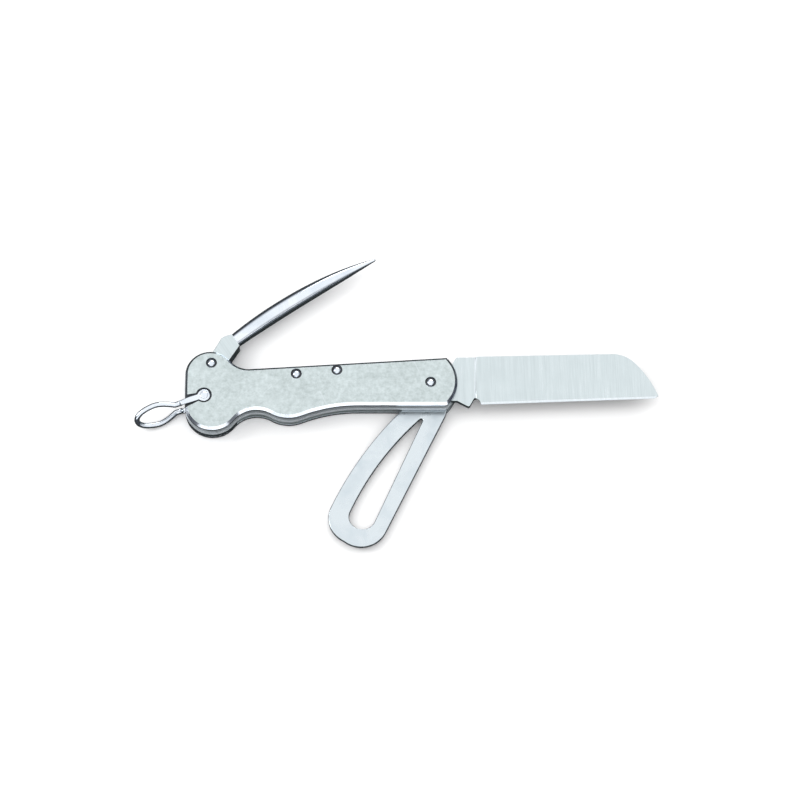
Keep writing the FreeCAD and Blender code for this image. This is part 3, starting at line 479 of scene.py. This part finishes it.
def arithmetic(tree, operation, one, other):
    """One sum on two numbers or sockets."""
    node = tree.nodes.new("ShaderNodeMath")
    node.operation = operation
    for index, value in enumerate((one, other)):
        if isinstance(value, bpy.types.NodeSocket):
            tree.links.new(value, node.inputs[index])
        else:
            node.inputs[index].default_value = value
    return node.outputs[0]


def blend_colours(tree, share, dark, light):
    """A colour between two, by a share from 0 to 1."""
    node = tree.nodes.new("ShaderNodeMix")
    node.data_type = "RGBA"
    tree.links.new(share, node.inputs["Factor"])
    for socket, value in ((node.inputs[6], dark), (node.inputs[7], light)):
        if isinstance(value, bpy.types.NodeSocket):
            tree.links.new(value, socket)
        else:
            socket.default_value = (*value, 1.0)
    return node.outputs[2]


def blasting_group():
    """Bead blasting: cloudy mottling in the colour and roughness, and a field of tiny pits."""
    group, given, made = new_group(
        "Bead blasting",
        [
            ("Vector", "NodeSocketVector", None),
            ("Grain", "NodeSocketFloat", 600.0),
            ("Light", "NodeSocketColor", (0.7, 0.7, 0.7, 1)),
            ("Dark", "NodeSocketColor", (0.4, 0.4, 0.4, 1)),
        ],
        [
            ("Colour", "NodeSocketColor"), ("Roughness", "NodeSocketFloat"),
            ("Height", "NodeSocketFloat"),
        ],
    )
    vector, grain = given.outputs["Vector"], given.outputs["Grain"]
    mottling = noise(group, vector, grain, detail=5.0, roughness=0.72)
    clouds = noise(group, vector, arithmetic(group, "MULTIPLY", grain, 0.13), detail=2.0)
    both = arithmetic(group, "ADD", arithmetic(group, "MULTIPLY", mottling, 0.78),
                      arithmetic(group, "MULTIPLY", clouds, 0.22))
    share = remap(group, both, 0.32, 0.66)
    pits = noise(group, vector, arithmetic(group, "MULTIPLY", grain, 5.5), detail=2.0)
    colour = blend_colours(group, share, given.outputs["Dark"], given.outputs["Light"])
    group.links.new(colour, made.inputs["Colour"])
    group.links.new(remap(group, share, 0.0, 1.0, 0.62, 0.46), made.inputs["Roughness"])
    height = arithmetic(group, "ADD", pits, arithmetic(group, "MULTIPLY", mottling, 0.8))
    group.links.new(height, made.inputs["Height"])
    return group


def grinding_group():
    """Grinding lines along the vector's Y: long thin streaks in colour, roughness and height."""
    group, given, made = new_group(
        "Grinding lines",
        [
            ("Vector", "NodeSocketVector", None),
            ("Light", "NodeSocketColor", (0.8, 0.8, 0.8, 1)),
            ("Dark", "NodeSocketColor", (0.6, 0.6, 0.6, 1)),
            ("Smooth", "NodeSocketFloat", 0.2),
            ("Rough", "NodeSocketFloat", 0.4),
        ],
        [
            ("Colour", "NodeSocketColor"), ("Roughness", "NodeSocketFloat"),
            ("Height", "NodeSocketFloat"),
        ],
    )
    vector = given.outputs["Vector"]
    broad = noise(group, stretched(group, vector, (1.0, 0.035, 0.3)), 420.0, 3.0, 0.6)
    fine = noise(group, stretched(group, vector, (1.0, 0.02, 0.3)), 2600.0, 4.0, 0.7)
    both = arithmetic(group, "ADD", arithmetic(group, "MULTIPLY", broad, 0.3),
                      arithmetic(group, "MULTIPLY", fine, 0.7))
    share = remap(group, both, 0.3, 0.7)
    colour = blend_colours(group, share, given.outputs["Dark"], given.outputs["Light"])
    group.links.new(colour, made.inputs["Colour"])
    rough = remap(group, share, 0.0, 1.0, given.outputs["Rough"], given.outputs["Smooth"])
    group.links.new(rough, made.inputs["Roughness"])
    group.links.new(fine, made.inputs["Height"])
    return group


def handling_group():
    """Marks of use: hairline scratches in two directions, and soft smudges."""
    group, given, made = new_group(
        "Handling marks",
        [("Vector", "NodeSocketVector", None)],
        [("Scratches", "NodeSocketFloat"), ("Smudges", "NodeSocketFloat")],
    )
    vector = given.outputs["Vector"]
    one = noise(
        group, stretched(group, placed(group, vector, degrees=24), (1.0, 0.03, 1.0)), 900.0, 2.0
    )
    other = noise(
        group, stretched(group, placed(group, vector, degrees=-47), (1.0, 0.045, 1.0)), 640.0, 2.0
    )
    lines = arithmetic(
        group, "MAXIMUM", remap(group, one, 0.68, 0.74), remap(group, other, 0.69, 0.76)
    )
    group.links.new(lines, made.inputs["Scratches"])
    smudges = remap(group, noise(group, vector, 85.0, 4.0, 0.55, 0.6), 0.42, 0.68)
    group.links.new(smudges, made.inputs["Smudges"])
    return group


GROUPS = {
    "Bead blasting": blasting_group,
    "Grinding lines": grinding_group,
    "Handling marks": handling_group,
}


def group_node(tree, name, vector, **values):
    """Place a node group, building it the first time, and set its values."""
    node = tree.nodes.new("ShaderNodeGroup")
    node.node_tree = bpy.data.node_groups.get(name) or GROUPS[name]()
    tree.links.new(vector, node.inputs["Vector"])
    for label, value in values.items():
        node.inputs[label].default_value = value
    return node


# Materials


def new_metal(name, location=(0, 0, 0), degrees=0.0):
    """A metal with its own coordinates: (material, tree, shader, vector)."""
    material = bpy.data.materials.new(name)
    material.use_nodes = True
    tree = material.node_tree
    shader = tree.nodes["Principled BSDF"]
    shader.inputs["Metallic"].default_value = 1.0
    place = tree.nodes.new("ShaderNodeTexCoord").outputs["Object"]
    return material, tree, shader, placed(tree, place, location, degrees)


def dent(tree, shader, height, distance, strength):
    """Bump the shader by a height."""
    bump = tree.nodes.new("ShaderNodeBump")
    bump.inputs["Distance"].default_value = distance
    bump.inputs["Strength"].default_value = strength
    tree.links.new(height, bump.inputs["Height"])
    tree.links.new(bump.outputs["Normal"], shader.inputs["Normal"])


def blasted_steel():
    """Bead-blasted stainless plate with fine scratches from use."""
    look = finishes()
    material, tree, shader, vector = new_metal("Blasted steel")
    blast = group_node(
        tree, "Bead blasting", vector, Grain=look.grain,
        Light=(*look.blasted_light, 1.0), Dark=(*look.blasted_dark, 1.0),
    )
    marks = group_node(tree, "Handling marks", vector)
    scratched = arithmetic(tree, "MULTIPLY", marks.outputs["Scratches"], 0.2)
    colour = blend_colours(tree, scratched, blast.outputs["Colour"], look.bright_light)
    tree.links.new(colour, shader.inputs["Base Color"])
    worn = arithmetic(tree, "MULTIPLY", marks.outputs["Scratches"], 0.1)
    rough = arithmetic(tree, "SUBTRACT", blast.outputs["Roughness"], worn)
    tree.links.new(rough, shader.inputs["Roughness"])
    dent(tree, shader, blast.outputs["Height"], 0.00006, 0.55)
    return material


def ground_steel(name, degrees, smooth, rough, light, dark, depth, metallic=1.0):
    """Steel with grinding lines that run at an angle from +Y.  Less metallic steel is pickled."""
    material, tree, shader, vector = new_metal(name, degrees=degrees)
    shader.inputs["Metallic"].default_value = metallic
    lines = group_node(
        tree, "Grinding lines", vector, Light=(*light, 1.0), Dark=(*dark, 1.0),
        Smooth=smooth, Rough=rough,
    )
    marks = group_node(tree, "Handling marks", vector)
    share = arithmetic(tree, "MULTIPLY", marks.outputs["Smudges"], 0.3)
    colour = blend_colours(tree, share, lines.outputs["Colour"], dark)
    tree.links.new(colour, shader.inputs["Base Color"])
    dull = arithmetic(tree, "MULTIPLY", marks.outputs["Smudges"], 0.08)
    tree.links.new(
        arithmetic(tree, "ADD", lines.outputs["Roughness"], dull), shader.inputs["Roughness"]
    )
    dent(tree, shader, lines.outputs["Height"], depth, 0.4)
    return material


def polished_steel(name, smooth, rough, light, dark, depth=0.000012):
    """Bright steel, duller where it is handled, with hairline scratches."""
    material, tree, shader, vector = new_metal(name)
    marks = group_node(tree, "Handling marks", vector)
    colour = blend_colours(
        tree, arithmetic(tree, "MULTIPLY", marks.outputs["Smudges"], 0.6), light, dark
    )
    tree.links.new(colour, shader.inputs["Base Color"])
    wear = arithmetic(
        tree, "MAXIMUM", marks.outputs["Smudges"],
        arithmetic(tree, "MULTIPLY", marks.outputs["Scratches"], 0.8),
    )
    tree.links.new(remap(tree, wear, 0.0, 1.0, smooth, rough), shader.inputs["Roughness"])
    ripple = noise(tree, vector, 260.0, 2.0)
    height = arithmetic(
        tree, "SUBTRACT", ripple, arithmetic(tree, "MULTIPLY", marks.outputs["Scratches"], 0.6)
    )
    dent(tree, shader, height, depth, 0.5)
    return material


def bronze_shim():
    """Thin bronze with a faint dull film."""
    look = finishes()
    tint = tuple(look.bronze)
    return polished_steel(
        "Bronze shim", 0.24, 0.42, tint, tuple(part * 0.7 for part in tint)
    )


def material(name):
    """One of the knife's finishes, built the first time that it is asked for."""
    if name in bpy.data.materials:
        return bpy.data.materials[name]
    look = finishes()
    bright, dull = tuple(look.bright_light), tuple(look.bright_dark)
    satin, shade = tuple(look.satin_light), tuple(look.satin_dark)
    makers = {
        "Blasted steel": blasted_steel,
        "Bronze shim": bronze_shim,
        "Polished bevel": lambda: polished_steel("Polished bevel", 0.12, 0.3, bright, dull),
        "Spike steel": lambda: polished_steel("Spike steel", 0.09, 0.2, bright, dull),
        "Wire steel": lambda: polished_steel("Wire steel", 0.08, 0.2, bright, dull),
        "Rivet steel": lambda: polished_steel("Rivet steel", 0.12, 0.3, bright, dull, 0.00003),
        # Painted shade: near-black steel on the rivet rings and the recess floors, standing in for
        # the shade in those hollows
        "Countersink steel": lambda: polished_steel(
            "Countersink steel", 0.4, 0.6, tuple(0.1 * part for part in bright),
            tuple(0.06 * part for part in dull), 0.00003,
        ),
        "Key steel": lambda: polished_steel(
            "Key steel", 0.24, 0.38, tuple(look.key_light), tuple(look.key_dark), 0.00002
        ),
        "Liner steel": lambda: ground_steel(
            "Liner steel", 90.0, 0.3, 0.5, bright, satin, 0.00001, metallic=0.5
        ),
        "Blade steel": lambda: ground_steel(
            "Blade steel", 2.0, 0.22, 0.4, satin, shade, 0.000012
        ),
        "Edge steel": lambda: ground_steel(
            "Edge steel", 4.0, 0.1, 0.24, bright, satin, 0.000006
        ),
        "Tang steel": lambda: ground_steel(
            "Tang steel", SPIKE_LINE, 0.22, 0.44, satin, shade, 0.00002
        ),
    }
    return makers[name]()


# Pieces


class KNIFE_OT_scales(Operator):
    """Front and back scales: blasted faces, polished bevels and edges"""

    bl_idname = "knife.scales"
    bl_label = "Scales"

    def execute(self, context):
        amount = shapes().edge_round
        for node in ("front_scale", "back_scale"):
            rounded_copy(
                node, node + "_plate",
                [
                    material("Blasted steel"), material("Polished bevel"),
                    # Third material: painted shade on the recess floors
                    material("Countersink steel"),
                ],
                amount, steepest=ALL_EDGES,
            )
        return {"FINISHED"}


class KNIFE_OT_inner_plates(Operator):
    """Centre liner, head spacer and backspring between the scales"""

    bl_idname = "knife.inner_plates"
    bl_label = "Liner and spring"

    def execute(self, context):
        amount = shapes().edge_round
        for node, steepest in (
            ("centre_liner", 0.2), ("head_spacer", ALL_EDGES), ("backspring", ALL_EDGES),
        ):
            rounded_copy(
                node, node + "_ground",
                [material("Liner steel"), material("Polished bevel")], amount, steepest=steepest,
            )
        return {"FINISHED"}


class KNIFE_OT_blade(Operator):
    """The opened blade: satin ground faces and a brighter sharpening bevel"""

    bl_idname = "knife.blade"
    bl_label = "Blade"

    def execute(self, context):
        rounded_copy(
            "blade", "blade_ground",
            [material("Blade steel"), material("Edge steel")], shapes().edge_round * 0.6,
            flat=0.9969,
        )
        return {"FINISHED"}


def spike_shaft():
    """The round shaft of the spike, drawn along +X from the pivot.

    At a share q of its run the line stands run^2 (c^2 - (q - c)^2) / (2 bow) above its start,
    with c the crest's share.  Its radius swells as a quarter sine over the first 0.3 of the run
    and then falls by 0.86 ((q - 0.3) / 0.7)^2.5 of itself.  The last end radius of the run
    is a half ball."""
    size = shapes()
    start, end, rise, crest, swell = 13.4 * MM, 81.0 * MM, 4.56 * MM, 0.42, 0.3
    run = end - start
    tip = 0.16 * size.spike_radius / run
    along = np.linspace(0, 1 - tip, 150)
    ball = 1 - tip + tip * np.sin(np.radians(np.linspace(3, 89, 14)))
    share = np.concatenate([along, ball])
    growing = 0.84 + 0.16 * np.sin(np.clip(share / swell, 0, 1) * math.pi / 2)
    falling = 0.86 * np.clip((share - swell) / (1 - swell), 0, 1) ** 2.5
    closing = np.sqrt(1 - np.clip((share - 1 + tip) / tip, 0, 1) ** 2)
    radius = size.spike_radius * (growing - falling) * closing
    height = run * run * (crest ** 2 - (share - crest) ** 2) / (2 * size.spike_bow) + rise
    middle = (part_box("marlin_spike")[0].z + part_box("marlin_spike")[1].z) / 2
    line = np.stack([start + run * share, height, np.full(len(share), middle)], axis=-1)
    return swept(line, radius, radius, np.full(len(share), 2.0), size.around)


def spike_tang():
    """The flat tang, drawn along +X from the pivot, as an outline of arcs and edges."""
    disc, block = 4.8, 14.0
    corners = [
        (disc * 0.5446, disc * 0.8387, disc),
        (-disc * 0.7071, disc * 0.7071, disc),
        (-disc * 0.9, -disc * 0.4359, disc),
        (disc * 0.4, -disc * 0.9165, 0),
        (block, disc * 0.19, 0),
        (block, disc * 1.42, 0),
        (block - 2.6, disc * 1.56, 3.0),
        (block - 4.8, disc * 1.55, 0),
    ]
    outline = outline_points(corners, 0.35) * MM
    return raised(outline, 2.15 * MM, 8.35 * MM, 0.25 * MM)


class KNIFE_OT_spike(Operator):
    """The marlin spike: a turned, bowed and polished shaft on a ground tang"""

    bl_idname = "knife.spike"
    bl_label = "Marlin spike"

    def execute(self, context):
        for name, surface, finish in (
            ("spike_shaft", spike_shaft(), "Spike steel"),
            ("spike_tang", spike_tang(), "Tang steel"),
        ):
            points, faces = surface
            placed_points = opened(points, SPIKE_PIVOT, SPIKE_LINE)
            piece = show(
                name, (placed_points, faces), "spike", ["marlin_spike"],
                [material(finish)],
            )
            if name == "spike_tang":
                weigh_normals(piece)
        return {"FINISHED"}


class KNIFE_OT_key(Operator):
    """The shackle key: a looped plate with rounded edges"""

    bl_idname = "knife.key"
    bl_label = "Shackle key"

    def execute(self, context):
        rounded_copy(
            "shackle_key", "key_plate", [material("Key steel")],
            shapes().edge_round * 0.5, limit=50.0,
        )
        return {"FINISHED"}


def bail_surface():
    """The bail's wire with its two flattened eyes, drawn along -X from the pin.

    The loop's distance out grows as the square root of sin a and its height falls as cos a, for
    a from 0 to 180 degrees.  Its sideways place is the height times the twist's tangent, let in
    as a quarter sine between 0.14 and 0.62 of its distance out.  Each eye is a flat disc whose
    half width at d from the pin is the square root of radius^2 - d^2, narrowing to the wire's
    radius, flush with the scale's face.  The arm stays thin until it has passed the head's
    edge."""
    size = shapes()
    wire, gap, eye, thick = size.wire_radius, 0.05 * MM, 2.5 * MM, 0.575 * MM
    middle = TOP / 2
    lift = middle - wire - gap
    inset, arm = 7.6 * MM, 1.2 * MM
    near = inset + wire + 0.9 * MM
    share = np.linspace(0.02, 0.98, 260)
    angle = math.pi * share * share * (3 - 2 * share)
    way = np.sqrt(np.sin(angle))
    spread = np.sin(np.clip((way - 0.14) / 0.48, 0, 1) * math.pi / 2)
    twisted = spread * lift * math.tan(size.bail_twist)
    loop = np.stack([
        -near - (size.bail_reach - near) * way, twisted * np.cos(angle),
        middle + lift * np.cos(angle),
    ], axis=-1)
    out = np.concatenate([
        -eye * np.cos(np.radians(np.linspace(4, 88, 14))), np.linspace(0.1 * MM, near, 70),
    ])
    slim, rise = (np.clip((out - begin) / (near - begin), 0, 1) for begin in (5.6 * MM, 9.4 * MM))
    slim, rise = slim * slim * (3 - 2 * slim), rise * rise * (3 - 2 * rise)
    disc = np.sqrt(np.clip(eye * eye - out * out, 0, None))
    narrow = np.where(out > 0, arm * (1 - slim) + wire * slim, 0)
    half_width = np.sqrt(np.sqrt(disc ** 4 + narrow ** 4))
    half_height = thick * (1 - rise) + wire * rise
    half_height *= np.sqrt(np.clip(1 - (np.clip(-out, 0, eye) / eye) ** 8, 0.02, 1))
    square = 5.0 * (1 - slim) + 2.0 * slim
    top = np.stack([-out, np.zeros(len(out)), TOP - gap - half_height], axis=-1)
    top[:, 2] = TOP - gap - np.where(out > 0, half_height, thick)
    low = top[::-1] * [1, 1, -1] + [0, 0, TOP]
    line = np.concatenate([top, loop, low])
    constant = np.full(len(loop), wire)
    return swept(
        line, np.concatenate([half_width, constant, half_width[::-1]]),
        np.concatenate([half_height, constant, half_height[::-1]]),
        np.concatenate([square, np.full(len(loop), 2.0), square[::-1]]), size.around,
    )


class KNIFE_OT_bail(Operator):
    """The wire bail with its flattened eyes"""

    bl_idname = "knife.bail"
    bl_label = "Bail"

    def execute(self, context):
        points, faces = bail_surface()
        placed_points = opened(points, BAIL_PIVOT, BAIL_LINE)
        show(
            "bail_wire", (placed_points, faces), "bail", ["bail"],
            [material("Wire steel")],
        )
        return {"FINISHED"}


def rivet_profile(length, shank):
    """Half section of a rivet from its flush tail to its crowned head.

    The dome falls from its crown by fall (1 - cos a) while its radius grows as sin a, for a from
    0 to 90 degrees: a peened button standing in its countersink, with an
    open ring round it."""
    head, deep, rim, crown = 2.1 * MM, 0.8 * MM, 0.1 * MM, shapes().rivet_crown
    ring, seat = 2.05 * MM, length - 0.3 * MM
    fall = crown + 0.45 * MM
    angle = np.radians(np.linspace(90, 0, 22))
    dome = np.stack([
        BUTTON * np.sin(angle), length + crown - fall * (1 - np.cos(angle)),
    ], axis=-1)
    foot = quarter(rim, -90) + [head - rim, rim]
    return np.concatenate([
        [(0, 0), (head * 0.5, 0)], foot,
        [(head, deep), (shank, deep), (shank, length - deep), (ring, length - deep)],
        [(ring, seat), (BUTTON * 1.02, seat)], dome,
    ])


def darken_ring(piece, centre):
    """Give the second material, a painted shade, to the ring round a rivet's button, just below the
    scale's face.
    """
    middles = np.zeros(len(piece.data.polygons) * 3, np.float32)
    piece.data.polygons.foreach_get("center", middles)
    offset = middles.reshape(-1, 3) - centre
    outside = np.hypot(offset[:, 0], offset[:, 1]) > 0.995 * BUTTON
    ring = outside & (offset[:, 2] > TOP - centre[2] - 0.5 * MM)
    piece.data.polygons.foreach_set("material_index", ring.astype(np.int32))


class KNIFE_OT_rivets(Operator):
    """Four crowned rivets, the bail's flared pin and its collar"""

    bl_idname = "knife.rivets"
    bl_label = "Rivets and pin"

    def execute(self, context):
        steel = [material("Rivet steel")]
        around = shapes().around
        for node, shank in (
            ("blade_pivot_rivet", 1.5), ("spike_pivot_rivet", 1.5),
            ("front_spring_rivet", 1.0), ("rear_spring_rivet", 1.0),
        ):
            low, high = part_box(node)
            centre = [(low.x + high.x) / 2, (low.y + high.y) / 2, low.z]
            profile = rivet_profile(TOP - low.z, shank * MM)
            piece = show(
                node[:-6] + "_turned_rivet", turned(profile, centre, around), "handle",
                [node], [*steel, material("Countersink steel")],
            )
            # The open ring round each button is painted near black as shade
            darken_ring(piece, centre)
            weigh_normals(piece)
        low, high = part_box("bail_pin")
        flare, shank, length = (high.x - low.x) / 2, 1.1 * MM, high.z - low.z
        radius = np.linspace(flare, 0, 12)
        crown = 0.3 * MM
        dome = np.stack([radius, length - crown * (radius / flare) ** 2], axis=-1)
        profile = np.concatenate([
            [(0, 0), (flare * 0.7, 0), (flare, 0.05 * MM), (shank, 0.55 * MM)],
            [(shank, length - crown - 0.5 * MM)], dome,
        ])
        centre = [BAIL_PIVOT.x, BAIL_PIVOT.y, low.z]
        pin = show(
            "bail_pin_flared", turned(profile, centre, around), "handle",
            ["bail_pin"], steel,
        )
        weigh_normals(pin)
        rounded_copy(
            "bail_pin_collar", "bail_pin_tube", steel, shapes().edge_round
        )
        return {"FINISHED"}


class KNIFE_OT_shims(Operator):
    """Bronze shims beside the three tangs"""

    bl_idname = "knife.shims"
    bl_label = "Shims"

    def execute(self, context):
        for node in sorted(frame["nodes"]):
            if "washer" in node:
                rounded_copy(
                    node, node.replace("washer", "shim"),
                    [material("Bronze shim")], shapes().edge_round * 0.4,
                )
        return {"FINISHED"}


def add_light(name, place, target, side, depth, power):
    """A rectangular softbox aimed at a point."""
    light = bpy.data.lights.new(name, "AREA")
    light.shape = "RECTANGLE"
    light.size, light.size_y, light.energy = side, depth, power
    lamp = bpy.data.objects.new(name, light)
    bpy.context.scene.collection.objects.link(lamp)
    lamp.location = place
    lamp.rotation_mode = "QUATERNION"
    lamp.rotation_quaternion = (Vector(target) - Vector(place)).to_track_quat("-Z", "Y")
    return lamp


def floor_material(colour):
    """Plain matt board with a barely visible tooth.

    To a reflected ray it is near black, a painted dark reflection, so that the steel's lower
    edges stand out against the pale board."""
    material = bpy.data.materials.new("Floor board")
    material.use_nodes = True
    tree = material.node_tree
    shader = tree.nodes["Principled BSDF"]
    # Painted reflection: glossy rays see the board as near black, camera rays see it pale
    reflected = tree.nodes.new("ShaderNodeLightPath").outputs["Is Glossy Ray"]
    seen = blend_colours(tree, reflected, tuple(colour), (0.035, 0.04, 0.04))
    tree.links.new(seen, shader.inputs["Base Color"])
    shader.inputs["Roughness"].default_value = 0.9
    shader.inputs["Specular IOR Level"].default_value = 0.1
    place = tree.nodes.new("ShaderNodeTexCoord").outputs["Object"]
    dent(tree, shader, noise(tree, place, 900.0), 0.00002, 0.2)
    return material


class KNIFE_OT_stage(Operator):
    """Pale floor, softboxes, surround and camera"""

    bl_idname = "knife.stage"
    bl_label = "Studio"

    def execute(self, context):
        scene = context.scene
        stage = scene.knife_stage
        half = stage.floor_side / 2
        mesh = bpy.data.meshes.new("floor")
        mesh.from_pydata(
            [(-half, -half, 0), (half, -half, 0), (half, half, 0), (-half, half, 0)],
            [], [(0, 1, 2, 3)],
        )
        mesh.materials.append(floor_material(stage.floor_colour))
        floor = bpy.data.objects.new("floor", mesh)
        scene.collection.objects.link(floor)
        add_light("Back softbox", (0.15, 0.95, 0.5), AIM, 0.9, 0.35, stage.softbox_power)
        add_light("Front strip", (0.0, -1.25, 0.52), AIM, 2.6, 0.3, stage.softbox_power)
        add_light("Side softbox", (-1.0, 0.1, 0.55), AIM, 0.35, 0.9, stage.softbox_power)
        world = bpy.data.worlds.new("Room")
        world.use_nodes = True
        tree = world.node_tree
        sky = tree.nodes["Background"]
        place = tree.nodes.new("ShaderNodeTexCoord").outputs["Generated"]
        split = tree.nodes.new("ShaderNodeSeparateXYZ")
        tree.links.new(place, split.inputs[0])
        share = remap(tree, split.outputs["Z"], 0.22, 0.72)
        colour = blend_colours(tree, share, (0.04, 0.045, 0.06), (1.0, 1.0, 1.0))
        tree.links.new(colour, sky.inputs["Color"])
        sky.inputs["Strength"].default_value = stage.surround
        scene.world = world
        scene.view_settings.view_transform = "Standard"
        camera = bpy.data.cameras.new("Camera")
        camera.lens = stage.lens
        eye = bpy.data.objects.new("Camera", camera)
        scene.collection.objects.link(eye)
        away = Vector((0, -math.cos(stage.camera_lift), math.sin(stage.camera_lift)))
        eye.location = AIM + away * (FIELD * stage.lens / camera.sensor_width)
        eye.rotation_mode = "QUATERNION"
        eye.rotation_quaternion = (-away).to_track_quat("-Z", "Y")
        camera.clip_start, camera.clip_end = 0.05, 50.0
        scene.camera = eye
        return {"FINISHED"}


OPERATORS = (
    KNIFE_OT_scales, KNIFE_OT_inner_plates, KNIFE_OT_blade, KNIFE_OT_spike, KNIFE_OT_key,
    KNIFE_OT_bail, KNIFE_OT_rivets, KNIFE_OT_shims, KNIFE_OT_stage,
)


class KNIFE_PT_sidebar(Panel):
    bl_label = "Rigging knife"
    bl_idname = "KNIFE_PT_sidebar"
    bl_space_type = "VIEW_3D"
    bl_region_type = "UI"
    bl_category = "Rigging knife"

    def draw(self, context):
        column = self.layout.column()
        for operator in OPERATORS:
            column.operator(operator.bl_idname)
        for settings in ("knife_shapes", "knife_finishes", "knife_stage"):
            group = getattr(context.scene, settings)
            box = self.layout.box()
            for name in group.__annotations__:
                box.prop(group, name)


CLASSES = (KnifeShapes, KnifeFinishes, KnifeStage, *OPERATORS, KNIFE_PT_sidebar)


def register():
    for cls in CLASSES:
        bpy.utils.register_class(cls)
    bpy.types.Scene.knife_shapes = PointerProperty(type=KnifeShapes)
    bpy.types.Scene.knife_finishes = PointerProperty(type=KnifeFinishes)
    bpy.types.Scene.knife_stage = PointerProperty(type=KnifeStage)


def unregister():
    del bpy.types.Scene.knife_stage
    del bpy.types.Scene.knife_finishes
    del bpy.types.Scene.knife_shapes
    for cls in reversed(CLASSES):
        bpy.utils.unregister_class(cls)


def main():
    """Register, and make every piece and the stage."""
    register()
    bpy.ops.knife.scales()
    bpy.ops.knife.inner_plates()
    bpy.ops.knife.blade()
    bpy.ops.knife.spike()
    bpy.ops.knife.key()
    bpy.ops.knife.bail()
    bpy.ops.knife.rivets()
    bpy.ops.knife.shims()
    bpy.ops.knife.stage()


if __name__ == "__main__":
    main()
